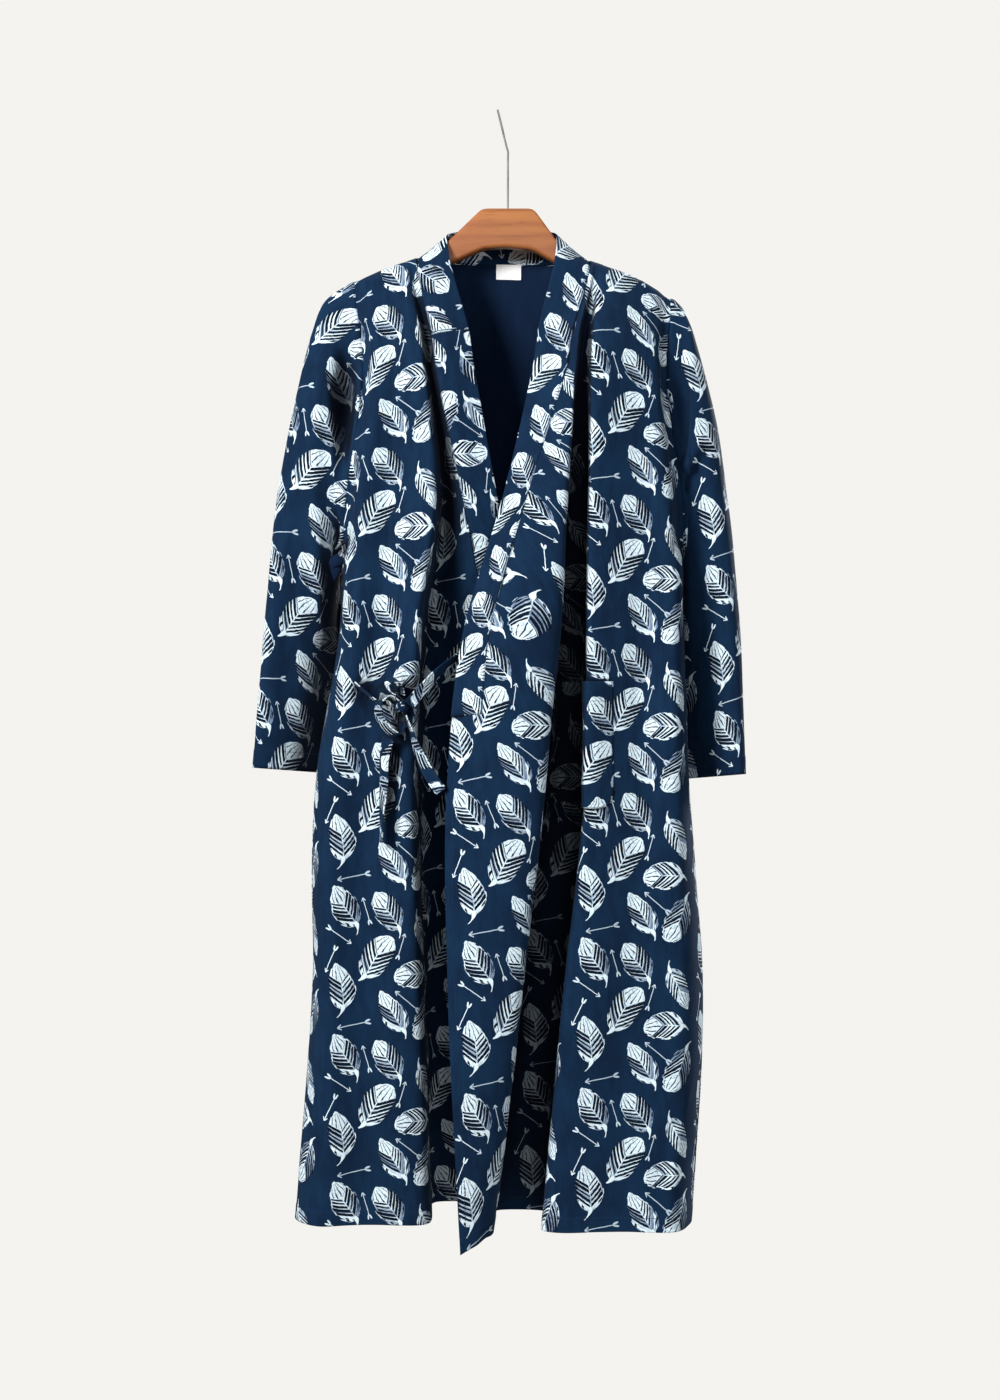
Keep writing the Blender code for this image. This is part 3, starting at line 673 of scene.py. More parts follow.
# Wire hook: a straight neck, then an open loop that leans so that its top stands over the origin
WIRE_RADIUS = 1.6
WIRE_SHOWN = 1.15  # the drawn wire's own radius, inside the solid's
HOOK_X = 11.0
WOOD_TOP_Z = -106.0
NECK_POINTS_Z = (WOOD_TOP_Z, -85.0, -65.0, -50.0)
NECK_TOP_Z = -43.0
HOLE_DEPTH = 14.0
LOOP_START_DEGREES = 50
LOOP_RADIUS = 21.5
LOOP_END_DEGREES = 300
LOOP_SWING_DEGREES = 4.2  # the loop is turned a little on its neck

# ---------------------------------------------------------------- smooth curves and sheets


def hermite(values, steps, tangents, places):
    """Cubic curves through values (knots, rows, axes), read at places (count, rows) in knots."""
    knot = np.clip(np.floor(places).astype(int), 0, len(values) - 2)
    u = (places - knot)[..., None]
    row = np.broadcast_to(np.arange(values.shape[1]), knot.shape)
    step = np.broadcast_to(steps, (len(steps), values.shape[1], 1))[knot, row]
    return (
        (1 + 2 * u) * (1 - u) ** 2 * values[knot, row]
        + u * (1 - u) ** 2 * step * tangents[knot, row]
        + u * u * (3 - 2 * u) * values[knot + 1, row]
        - u * u * (1 - u) * step * tangents[knot + 1, row]
    )


def directions(values, steps, first=None, last=None):
    """Which way a smooth curve runs at each value; first and last, where given, are its ends' ways."""
    slopes = np.diff(values, axis=0) / steps
    inner = (slopes[:-1] * steps[1:] + slopes[1:] * steps[:-1]) / (steps[:-1] + steps[1:])
    first = slopes[:1] if first is None else first[None]
    last = slopes[-1:] if last is None else last[None]
    return np.concatenate([first, inner, last])


def spline(values, places, first=None, last=None):
    """Smooth curves through values, as hermite reads them."""
    steps = np.linalg.norm(np.diff(values, axis=0), axis=-1, keepdims=True) + 1e-6
    return hermite(values, steps, directions(values, steps, first, last), places)


def along(drops, values):
    """Values given at STATIONS, read at any drops by a smooth curve."""
    knots = np.array(STATIONS)
    places = np.interp(drops, knots, np.arange(len(knots)))[:, None]
    table = np.stack([knots, np.array(values, float)], axis=-1)[:, None, :]
    steps = np.diff(knots)[:, None, None]
    return hermite(table, steps, directions(table, steps), places)[:, 0, 1]


def smoothstep(q):
    q = np.clip(q, 0.0, 1.0)
    return q * q * (3 - 2 * q)


def armhole_half_depth(drops):
    """How far the armhole's front or back stands from its middle plane: zero at top and bottom."""
    q = np.clip(drops / ARMHOLE_DROP, 0.0, 1.0)
    return ARMHOLE_HALF_DEPTH * np.sin(math.pi * q) ** ARMHOLE_SQUARENESS * (q < 1.0)


def fold_line(name, line, drops, facing):
    """The points of one fold line, at a row of drops."""
    xs, ys = line
    lower = np.maximum(drops, CHEST_DROP)
    above_chest = drops < CHEST_DROP
    x = np.where(above_chest, xs[0] + (xs[1] - xs[0]) * smoothstep(drops / CHEST_DROP), along(lower, xs))
    quarter_turn = np.minimum(drops / SHOULDER_ROUND, math.pi / 2)
    if is_side(name):
        own = smoothstep((drops - ARMHOLE_DROP) / UNDERARM_EASE)
        y = along(np.maximum(drops, STATIONS[3]), ys) * own + facing * armhole_half_depth(drops)
    else:
        rounding = SHOULDER_ROUND * max(0.0, 1 - abs(ys[0]) / ROUND_FADE)
        begun = smoothstep(NECK_EASE / (CHEST_DROP + NECK_EASE))
        eased = (smoothstep((drops + NECK_EASE) / (CHEST_DROP + NECK_EASE)) - begun) / (1 - begun)
        stand_out = rounding * np.sin(quarter_turn) + (facing * (ys[1] - ys[0]) - rounding) * eased
        y = np.where(above_chest, ys[0] + facing * stand_out, along(lower, ys))
    start_z = EDGE_START_Z if name == "edge" else np.interp(xs[0], SHOULDER_X, SHOULDER_Z)
    z = NECK_Z - drops + (start_z - NECK_Z) * np.exp(-drops / LEVEL_OUT)
    if abs(ys[0]) < 1:
        bent = SHOULDER_ROUND * (quarter_turn - 1 + np.cos(quarter_turn))
        z += bent * (1 - smoothstep(drops / HEM_DROP))
    return np.stack([x, y, z], axis=-1)


def is_side(name):
    return name in ("side", "side_left", "side_right")


def panel(lines, facing):
    """A function of (s, drops) that gives the panel's middle surface, s counted in fold lines."""
    names = list(lines)

    def surface(s, drops):
        """s is a row of places, or a grid of them with a column for each drop."""
        rows = np.stack([fold_line(name, line, drops, facing) for name, line in lines.items()])
        if np.ndim(s) == 1:
            s = np.repeat(np.asarray(s, float)[:, None], len(drops), axis=1)
        ends = [None, None]
        free = smoothstep((drops - ARMHOLE_DROP) / UNDERARM_TURN + 0.5)[:, None]
        for end, name, onward in ((0, names[0], -1.0), (1, names[-1], 1.0)):
            if is_side(name):
                outward = math.copysign(1.0, lines[name][0][0])
                to_sleeve = np.array([onward * outward, 0.0, 0.0])
                to_panel = np.array([0.0, -onward * facing, 0.0])
                ends[end] = to_sleeve * (1 - free) + to_panel * free
        grid = spline(rows, s, *ends)
        if lines is LEFT_FRONT:
            low = smoothstep((drops - TIP_START) / (HEM_DROP - TIP_START)) * TIP_DROP
            grid[..., 2] -= low * np.clip(1 - s / 2, 0, 1) ** 1.5
        return grid

    return surface


def unit(vectors):
    return vectors / np.maximum(np.linalg.norm(vectors, axis=-1, keepdims=True), 1e-9)


def running_length(grid, axis):
    """The distance along one axis of a grid of points, starting from its first row."""
    lengths = np.linalg.norm(np.diff(grid, axis=axis), axis=-1)
    start = np.zeros_like(np.take(lengths, [0], axis=axis))
    return np.concatenate([start, np.cumsum(lengths, axis=axis)], axis=axis)


# ---------------------------------------------------------------- cloth meshes

THICKNESS = 0.8
ROW_STEP = 5.0
COLUMN_STEP = 4.6
HEM_HEIGHT = 17.0
CUFF_HEIGHT = 22.0
FOLD_LIFT = 0.5  # how far a turned hem stands proud
FAR = 500.0  # a sewing coordinate with no stitches near
WIDTH_DROPS = (0.0, 260.0, 575.0, 785.0, HEM_DROP)  # where a sheet's width is measured
SHOULDER_ROWS = (1.5, 3, 7, 12, 18)
HEM_ROWS = (1.5, HEM_HEIGHT - 1, HEM_HEIGHT + 0.5, HEM_HEIGHT + 2)  # above the hem
LEAST_ROW_STEP = 0.9
SPAN_READING = 24  # how many places are read between two fold lines where widths are found
CREASE_FADE = 0.3  # the share of a crease's length over which it fades at either end


def even_columns(surface, low, high):
    """Places from low to high, close enough together for the widest row of a sheet."""
    places = [float(low)]
    for k in range(int(low), int(math.ceil(high))):
        start, end = max(low, k), min(high, k + 1)
        fine = np.linspace(start, end, SPAN_READING)
        widest = running_length(surface(fine, np.array(WIDTH_DROPS)), 0)[-1].max()
        count = max(2, math.ceil(widest / COLUMN_STEP))
        places += list(np.linspace(start, end, count + 1)[1:])
    return np.array(places)


def even_rows(low, high):
    """Drops from low to high, closer together at a shoulder seam and at the hem's turning."""
    rows = list(np.arange(low, high, ROW_STEP))
    if low == 0:
        rows += SHOULDER_ROWS
    if high == HEM_DROP:
        rows += [high - row for row in HEM_ROWS]
    rows = sorted(set(rows + [float(high)]))
    kept = [rows[0]]
    for row in rows[1:]:
        if row - kept[-1] > LEAST_ROW_STEP:
            kept.append(row)
    kept[-1] = float(high)
    return np.array(kept)


def creased(creases, u, v):
    """The lift of listed creases: each runs from one flat place to another with a bow, and fades."""
    lift = np.zeros_like(u)
    for (u0, v0), (u1, v1), bow, half_width, height in creases:
        length = math.hypot(u1 - u0, v1 - v0)
        ahead = ((u - u0) * (u1 - u0) + (v - v0) * (v1 - v0)) / length**2
        aside = ((v - v0) * (u1 - u0) - (u - u0) * (v1 - v0)) / length
        aside = aside - bow * 4 * np.clip(ahead, 0, 1) * (1 - np.clip(ahead, 0, 1))
        fade = smoothstep(ahead / CREASE_FADE) * smoothstep((1 - ahead) / CREASE_FADE)
        lift += height * np.exp(-((aside / half_width) ** 2)) * fade
    return lift


# Slow waves of hanging cotton: their length across and down, and height
WAVES = (
    (173, 900, 0.9),
    (97, 610, 0.55),
    (61, 330, 0.35),
    (211, 140, 0.28),
    (38, 95, 0.14),
    (23, 60, 0.07),
)


def unevenness(u, v, seed):
    """The lift of slow shallow waves: mostly upright, never quite regular."""
    lift = np.zeros_like(u)
    for k, (across, down, height) in enumerate(WAVES):
        phase = seed * (1.7 + k) + k
        lean = math.sin(seed * 3.1 + k * 2.3) * 0.5
        turn = (u + lean * v * across / down) * math.tau / across + phase
        lift += height * np.sin(turn + np.sin(v / down * math.tau + phase))
    return lift


def surface_normals(grid, ring):
    if ring:
        across = np.roll(grid, -1, axis=0) - np.roll(grid, 1, axis=0)
    else:
        across = np.gradient(grid, axis=0)
    return unit(np.cross(across, np.gradient(grid, axis=1)))


def shell(name, grid, prints, sewing, finishes, thickness=THICKNESS, ring=False, keep=None):
    """A sheet with its right side out. prints and sewing are its two UV maps, in mm.

    A ring's UV maps have one column more than its points, because the print runs on round it."""
    columns, rows = grid.shape[:2]
    vertex = np.arange(columns * rows).reshape(columns, rows)
    if ring:
        vertex = np.concatenate([vertex, vertex[:1]])
    place = np.arange(len(vertex) * rows).reshape(len(vertex), rows)

    def corners(index):
        quads = np.stack([index[:-1, :-1], index[1:, :-1], index[1:, 1:], index[:-1, 1:]], axis=-1)
        return quads[keep] if keep is not None else quads.reshape(-1, 4)

    faces = corners(vertex)
    used = np.unique(faces)
    renumber = np.zeros(vertex.max() + 1, int)
    renumber[used] = np.arange(len(used))
    mesh = bpy.data.meshes.new(name)
    mesh.from_pydata((grid.reshape(-1, 3)[used] * MM).tolist(), [], renumber[faces].tolist())
    for layer, values in (("print", prints), ("sewing", sewing)):
        uv = mesh.uv_layers.new(name=layer)
        uv.data.foreach_set("uv", (values.reshape(-1, 2)[corners(place).reshape(-1)] * MM).ravel())
    mesh.shade_smooth()
    obj = added(name, mesh)
    for finish in finishes:
        mesh.materials.append(finish)
    solid = obj.modifiers.new("thickness", "SOLIDIFY")
    solid.thickness = thickness * MM
    solid.offset = -1.0
    solid.material_offset = 1
    solid.use_quality_normals = True
    return obj


def flat_map(u, v):
    """A UV map from its two coordinates."""
    return np.stack(np.broadcast_arrays(u, v), axis=-1)


def facing_out(grid, outward, ring=False):
    """Turns a grid's right side outward, by the order of its columns.

    Gives the grid, its normals, and whether the columns changed order."""
    normals = surface_normals(grid, ring)
    if np.mean(np.sum(normals * outward, axis=-1)) < 0:
        return grid[::-1], -normals[::-1], True
    return grid, normals, False


def facing_away(grid):
    """As facing_out, for a ring: its right side faces away from its middle line."""
    return facing_out(grid, unit(grid - np.mean(grid, axis=0, keepdims=True)), ring=True)


def flat_places(grid, plumb_x):
    """How far across the flat cloth each point of a panel lies from the upright line at plumb_x."""
    across = running_length(grid, 0)
    order = np.sign(grid[-1, :, 0] - grid[0, :, 0])
    level = [(plumb_x * way, x * way, run) for way, x, run in zip(order, grid[..., 0].T, across.T)]
    start = np.array([np.interp(*row) for row in level])
    return (across - start) * order


# ---------------------------------------------------------------- the panels

# The lapping strip's print sits further out than its panel's. It shifts over a stretch in the valley.
STRIP_START, STRIP_STRETCH, STRIP_SHIFT = -215.0, 70.0, 18.0
PLUMB = {"front_left": 150.0, "front_right": -118.0, "back": 0.0}
CREASE_EASE = 60.0  # creases and waves grow from nothing over this drop
TURNING_STEP = 1.8  # over which a turned hem stands up
STITCH_INSET = 2.0  # from a turning's edge
EDGE_HEM = 8.0


def finish_sheet(name, grid, drops, facing, finishes, keep=None, hem_first=False):
    """Common to the panels: flat places, creases, hem, then the shell.

    hem_first hems the panel's first column, its opening edge."""
    grid, normals, turned = facing_out(grid, TO_FRONT * facing * FRONT)
    if turned and keep is not None:
        keep = keep[::-1]
    u = flat_places(grid, PLUMB[name])
    v = np.broadcast_to(drops, u.shape)
    hem = smoothstep((v - (HEM_DROP - HEM_HEIGHT)) / TURNING_STEP) * FOLD_LIFT
    lift = (creased(CREASES[name], u, v) + unevenness(u, v, SEEDS[name])) * smoothstep(v / CREASE_EASE) + hem
    grid = grid + normals * lift[..., None]
    phase = PRINT_PHASE[name]
    shift = STRIP_SHIFT * smoothstep((STRIP_START - u) / STRIP_STRETCH) if name == "front_left" else 0.0
    prints = flat_map(u * -facing + phase[0] + shift, phase[1] - v)
    from_hem = HEM_DROP - v
    sewing = flat_map(u, from_hem - (HEM_HEIGHT - STITCH_INSET))
    if hem_first:
        across = running_length(grid, 0)
        distance = across[-1] - across if turned else across
        near = (distance < EDGE_HEM + 4) & (from_hem > HEM_HEIGHT)
        sewing[near] = flat_map(v, distance - EDGE_HEM)[near]
    return shell(name, grid, prints, sewing, finishes, keep=keep)


# Creases, one by one: from, to (both across and down in flat mm), bow, half width, height
CREASES = {
    "front_left": (
        ((20, 60), (34, 330), 6, 11, 2.2),
        ((48, 250), (10, 420), -8, 9, -1.8),
        ((-12, 330), (-2, 640), 5, 12, 1.8),
        ((28, 420), (16, 760), -6, 14, 2.0),
        ((40, 660), (30, 980), 7, 16, -2.4),
        ((62, 900), (20, 1040), 12, 9, -4.0),
        ((70, 880), (34, 1045), 12, 7, 2.6),
        ((-25, 620), (-30, 1040), 6, 18, 2.2),
        ((-215, 560), (-200, 900), 8, 16, 2.4),
        ((-190, 700), (-205, 1040), -8, 15, -2.2),
        ((44, 120), (20, 215), 5, 8, -1.4),
    ),
    "front_right": (
        ((-30, 90), (-38, 350), 6, 10, 2.0),
        ((-50, 230), (-12, 380), 8, 9, -1.8),
        ((10, 330), (14, 640), 5, 13, 1.6),
        ((-26, 420), (-18, 770), -7, 14, 2.0),
        ((-48, 640), (-52, 1000), 6, 16, -2.4),
        ((8, 700), (2, 1044), 6, 15, 2.2),
        ((-70, 830), (-58, 1040), -5, 12, 2.2),
    ),
    "back": (
        ((-120, 120), (-96, 420), 8, 14, 2.2),
        ((118, 150), (92, 430), -8, 14, 2.2),
        ((-40, 160), (-46, 560), 8, 18, -2.0),
        ((38, 240), (52, 700), -9, 18, 2.2),
        ((-150, 520), (-160, 980), 8, 18, 2.4),
        ((150, 560), (166, 1020), -9, 17, -2.4),
        ((-10, 640), (4, 1040), 8, 22, 2.6),
        ((90, 740), (104, 1044), 6, 16, 2.2),
        ((-86, 700), (-96, 1044), -8, 18, -2.2),
    ),
    "sleeve_left": (
        ((-52, 60), (-88, 250), -8, 12, -14.0),
        ((-86, 190), (-96, 345), -4, 12, -9.0),
        ((-34, 100), (-64, 430), 4, 12, 3.0),
        ((-24, 150), (-72, 205), -6, 7, 4.8),
        ((-30, 172), (-74, 226), -6, 6, -4.4),
        ((-100, 300), (-112, 540), 6, 14, 3.0),
        ((-20, 250), (-34, 520), 6, 12, -2.4),
        ((60, 60), (52, 420), 8, 14, 2.2),
        ((110, 180), (90, 520), -6, 14, -2.4),
        ((30, 300), (38, 540), 5, 12, 2.2),
    ),
    "sleeve_right": (
        ((58, 60), (100, 250), 8, 11, -20.0),
        ((94, 190), (102, 430), 4, 13, -14.0),
        ((34, 70), (74, 430), 9, 10, 4.0),
        ((22, 70), (66, 130), -8, 8, 3.0),
        ((24, 96), (70, 160), -8, 7, -2.4),
        ((110, 300), (120, 540), 6, 14, 3.0),
        ((28, 260), (40, 530), 6, 12, -2.4),
        ((-60, 60), (-52, 430), 8, 14, 2.2),
        ((-108, 190), (-92, 520), 6, 14, -2.4),
        ((-30, 260), (-40, 520), -6, 12, 2.2),
    ),
}
# Where the print's first leaf falls on each piece: across and down in flat mm
PRINT_PHASE = {
    "front_left": (51.0, -37.0),
    "front_right": (50.0, 69.0),
    "back": (35.0, 60.0),
    "collar": (65.0, 40.0),
    "sleeve_left": (22.0, 0.0),
    "sleeve_right": (0.0, 0.0),
    "pocket": (60.0, 20.0),
    "ties": (34.0, 30.0),
}

# What makes the slow waves of one piece differ from another's
SEEDS = {"front_left": 1.0, "front_right": 2.0, "sleeve_left": 3.0, "sleeve_right": 4.0, "back": 5.0}

left_front = panel(LEFT_FRONT, FRONT)
right_front = panel(RIGHT_FRONT, FRONT)
back = panel(BACK, BACKWARD)
# Each front's surface and its last fold line
FRONTS = {
    "front_left": (left_front, len(LEFT_FRONT) - 1),
    "front_right": (right_front, len(RIGHT_FRONT) - 1),
}


def front(name, finishes):
    """A front: the band covers its first strip, so above the band's end that strip is left out."""
    surface, last = FRONTS[name]
    places = even_columns(surface, 0, last)
    drops = even_rows(0, HEM_DROP)
    strip = places[:-1] < 0.999
    keep = ~(strip[:, None] & (drops[:-1] < BAND_DROP - 0.01)[None, :])
    return finish_sheet(name, surface(places, drops), drops, FRONT, finishes, keep, hem_first=True)


def back_panel(finishes):
    drops = even_rows(0, HEM_DROP)
    grid = back(even_columns(back, 0, len(BACK) - 1), drops)
    return finish_sheet("back", grid, drops, BACKWARD, finishes)


# ---------------------------------------------------------------- the band

BAND_HALF = 1.1
BAND_ROW_STEP = 4.0
BAND_COLUMNS = 13
BAND_NECK_ROWS = 66
BAND_TURNS = 6  # steps round the band's folded edge
BAND_SEAM = 0.1  # the share of its width over which the band thins towards its seam
BAND_THINS = 0.55
BAND_STITCHES = 1.6  # from its long edges
BAND_ROUNDING = 12  # how often the band's line is eased, so that it rounds the shoulder with no corner
BAND_WIDTH = 38.0
BAND_JOIN = 96.0  # the drop on the front underneath where two lengths of band are joined
JOIN_LENGTH = 0.2
BAND_BREAK = (31.0, 47.0)  # how far the print jumps there
BAND_CREASES = (
    ((10, 60), (30, 130), 3, 6, 0.7),
    ((30, 210), (8, 300), -3, 7, -0.7),
    ((14, 330), (26, 430), 3, 7, 0.6),
    ((8, 700), (30, 780), 3, 6, 0.7),
    ((28, 860), (12, 960), -3, 7, -0.6),
    ((8, 1000), (26, 1080), 3, 6, 0.6),
)


def collar(finishes):
    """The folded band: up the lapping front, round the back of the neck, down the front underneath."""
    widths = np.linspace(0, 1, BAND_COLUMNS)
    drops = np.concatenate([np.arange(0, BAND_DROP, BAND_ROW_STEP), [BAND_DROP]])
    joined_drops = np.sort(np.append(drops, BAND_JOIN + JOIN_LENGTH))
    up_left, down_right = left_front(widths, drops)[:, ::-1], right_front(widths, joined_drops)
    first, last = list(BACK).index("neck_left"), list(BACK).index("neck_right")
    places = np.linspace(first, last, BAND_NECK_ROWS)[1:-1]
    seam = back(places, np.array([0.0]))[:, 0]
    edge = spline(np.array(BACK_NECK_EDGE, float)[:, None, :], (places - first)[:, None])[:, 0]
    round_back = edge + (seam - edge) * widths[:, None, None]
    middle = np.concatenate([up_left, round_back, down_right], axis=1)
    for _ in range(BAND_ROUNDING):
        inner = (middle[:, 2:] + middle[:, :-2]) / 2
        middle[:, 1:-1] += (inner - middle[:, 1:-1]) * 0.5
    normals = unit(np.cross(np.gradient(middle, axis=0), np.gradient(middle, axis=1)))
    if np.mean(normals[:, : len(drops) // 2, 1]) > 0:
        normals = -normals
    inwards = unit(middle[1] - middle[0])
    run = running_length(middle, 1)
    half = BAND_HALF * (1 - BAND_THINS * smoothstep((widths - 1) / BAND_SEAM + 1))[:, None, None]
    aside = np.broadcast_to((widths * BAND_WIDTH)[:, None], run.shape)
    ripple = creased(BAND_CREASES, aside, run)[..., None]
    outer = middle + normals * (half + ripple)
    inner = middle - normals * (half - ripple)
    turns = [math.pi / 2 - k * math.pi / BAND_TURNS for k in range(1, BAND_TURNS)]
    fold = [
        middle[0] + normals[0] * (math.sin(t) * BAND_HALF + ripple[0]) - inwards * math.cos(t) * BAND_HALF
        for t in turns
    ]
    grid = np.concatenate([outer[::-1], np.stack(fold), inner])
    across = running_length(grid, 0)
    phase = PRINT_PHASE["collar"]
    prints = flat_map(phase[0] - across, run[0] + phase[1])
    below_join = len(run[0]) - np.sum(joined_drops > BAND_JOIN)
    prints[:, below_join:] += BAND_BREAK
    distance = np.minimum(across, across[-1] - across)
    sewing = flat_map(run[0], distance - BAND_STITCHES)
    outward = np.concatenate([normals, normals[: len(turns)], -normals])
    if np.mean(surface_normals(grid, False) * outward) < 0:
        grid, prints, sewing = grid[::-1], prints[::-1], sewing[::-1]
    return shell("collar", grid, prints, sewing, finishes, thickness=0.5)


# ---------------------------------------------------------------- the sleeves

ARMHOLE_STEPS = 62  # from the armhole's top to its bottom, on either side
SLEEVE_ROWS = 128
SLEEVE_WAVES = 0.8  # how strong the slow waves are on a sleeve
UNROLLED_LEVELS = 160
ARMHOLE_EASE = 20.0  # creases and waves grow from the armhole over this length
# Each sleeve's rings, its front, and its side seam on the back
SLEEVES = {
    "sleeve_left": (LEFT_SLEEVE, "front_left", "side_left"),
    "sleeve_right": (RIGHT_SLEEVE, "front_right", "side_right"),
}


def unrolled(closed, start, axis, fold):
    """Flat-cloth places of a tube: across from its fold column, and down along its axis.

    Each level of the tube is unrolled on its own, from the fold round to the seam."""
    down = (closed - start) @ axis
    levels = np.linspace(down.min(), down.max(), UNROLLED_LEVELS)
    sections = np.stack(
        [
            np.stack([np.interp(levels, reach, axis_places) for axis_places in column.T], axis=-1)
            for reach, column in zip(down, closed)
        ]
    )
    sections -= (sections @ axis)[..., None] * axis
    across = running_length(sections, 0)
    across = across[fold] - across
    return np.stack([np.interp(reach, levels, row) for reach, row in zip(down, across)]), down


def sleeve(name, finishes):
    """A closed tube from the armhole to the cuff."""
    rings, front_name, side_name = SLEEVES[name]
    front_surface, last = FRONTS[front_name]
    rows = ARMHOLE_DROP * (0.5 - 0.5 * np.cos(np.linspace(0, math.pi, ARMHOLE_STEPS + 1)))
    front_side = front_surface(np.array([float(last)]), rows)[0]
    back_side = back(np.array([float(list(BACK).index(side_name))]), rows)[0]
    armhole = np.concatenate([front_side, back_side[-2:0:-1]])
    # every point of a ring lies as far down it as its start lies down the armhole
    lowest = armhole[ARMHOLE_STEPS, 2]
    cosine = 2 * (armhole[:, 2] - lowest) / (armhole[0, 2] - lowest) - 1
    from_top = np.minimum(np.arange(len(armhole)), len(armhole) - np.arange(len(armhole)))
    cosine = np.clip(cosine, -1, np.cos(from_top * math.pi / 2 / ARMHOLE_STEPS))[:, None]
    cosine[0] = 1
    side = np.where(np.arange(len(armhole)) <= ARMHOLE_STEPS, 1, -1)[:, None]
    swell = side * (1 - cosine**2) ** (SLEEVE_FULLNESS / 2)
    outward = math.copysign(1.0, rings[0][0][0])
    stations = [armhole]
    for (outer, inner), (half_depth, turn) in zip(rings, SLEEVE_RINGS):
        outer, inner = np.array(outer, float), np.array(inner, float)
        lean = math.radians(turn)
        face = np.array([-outward * math.sin(lean), -math.cos(lean), 0.0]) * half_depth
        stations.append((outer + inner) / 2 + cosine * (outer - inner) / 2 + swell * face)
    stations = np.stack(stations)
    places = np.repeat(np.linspace(0, len(rings), SLEEVE_ROWS)[:, None], len(armhole), 1)
    start = np.broadcast_to(np.array([outward, 0.0, 0.0]), armhole.shape)
    fine = spline(stations, places, first=start)
    run = running_length(fine, 0)
    even = np.linspace(0, 1, SLEEVE_ROWS)
    share = np.mean(run / run[-1], axis=1)
    places = np.repeat(np.interp(even, share, places[:, 0])[:, None], len(armhole), 1)
    grid = np.roll(spline(stations, places, first=start).transpose(1, 0, 2), -ARMHOLE_STEPS, axis=0)
    grid, normals, turned = facing_away(grid)
    if turned:
        grid, normals = np.roll(grid, 1, axis=0), np.roll(normals, 1, axis=0)
    # laid flat, the sleeve hangs straight down from its outer fold, and its seam runs below the arm
    closed = np.concatenate([grid, grid[:1]])
    fold = grid[ARMHOLE_STEPS]
    u, down = unrolled(closed, fold[0], unit(fold[-1] - fold[0]), ARMHOLE_STEPS)
    run = running_length(closed, 1)
    from_cuff = run[:, -1:] - run
    cuff = smoothstep((CUFF_HEIGHT - from_cuff) / TURNING_STEP) * FOLD_LIFT
    calm = smoothstep(run / ARMHOLE_EASE)
    lift = (creased(CREASES[name], u, down) + unevenness(u, down, SEEDS[name]) * SLEEVE_WAVES) * calm + cuff
    lift[-1] = lift[0]
    grid = grid + normals * lift[:-1, :, None]
    phase = PRINT_PHASE[name]
    prints = flat_map(u + phase[0], phase[1] - down)
    sewing = flat_map(u, from_cuff - (CUFF_HEIGHT - STITCH_INSET))
    return shell(name, grid, prints, sewing, finishes, ring=True)


# ---------------------------------------------------------------- the pocket, the ties and the label

POCKET_CORNER = 16.0
POCKET_STAND = 1.3
POCKET_ROW_STEP, POCKET_COLUMNS = 2.5, 56
POCKET_HEM, POCKET_HEM_LIFT = 22.0, 0.4
POCKET_SWELL, SWELL_REACH = 1.4, 30.0  # its middle stands out a little more than its edges
FINE_READING = 400  # how many places are read where even widths are found


def pocket(finishes):
    """A patch with rounded lower corners, made from the panel's own surface and moved out."""
    drops = np.concatenate([np.arange(POCKET_TOP, POCKET_BOTTOM, POCKET_ROW_STEP), [POCKET_BOTTOM]])
    fine = np.linspace(*POCKET_SIDES, FINE_READING)
    flat = running_length(left_front(fine, drops), 0)
    depth = np.clip(drops - (POCKET_BOTTOM - POCKET_CORNER), 0, POCKET_CORNER)
    inset = POCKET_CORNER - np.sqrt(np.maximum(POCKET_CORNER**2 - depth**2, 0.04))
    share = np.linspace(0, 1, POCKET_COLUMNS)
    rows = [np.interp(gap + share * (row[-1] - 2 * gap), row, fine) for gap, row in zip(inset, flat.T)]
    grid, normals, _ = facing_out(left_front(np.stack(rows, axis=1), drops), TO_FRONT)
    across = running_length(grid, 0)
    from_edge = np.minimum(np.minimum(across, across[-1] - across), (POCKET_BOTTOM - drops)[None, :])
    hem = smoothstep((POCKET_HEM - (drops - POCKET_TOP)) / 2.0)[None, :] * POCKET_HEM_LIFT
    swell = POCKET_SWELL * smoothstep(from_edge / SWELL_REACH)
    lift = POCKET_STAND * smoothstep((from_edge + 1.2) / 1.6) + swell + hem
    grid = grid + normals * lift[..., None]
    phase = PRINT_PHASE["pocket"]
    prints = flat_map(phase[0] - across, phase[1] - drops)
    down = drops - POCKET_TOP
    sewing = flat_map(np.where(from_edge < down, drops + across, across), from_edge - 2.2)
    from_hem = down - (POCKET_HEM - 1)
    top = (np.abs(from_hem) < 5) & (from_edge > 8)
    sewing[top] = flat_map(across, from_hem)[top]
    return shell("pocket", grid, prints, sewing, finishes, thickness=0.7)


STRAP_STEPS = 14  # between two points of its path
CRIMP_LENGTHS = (9.0, 3.9)


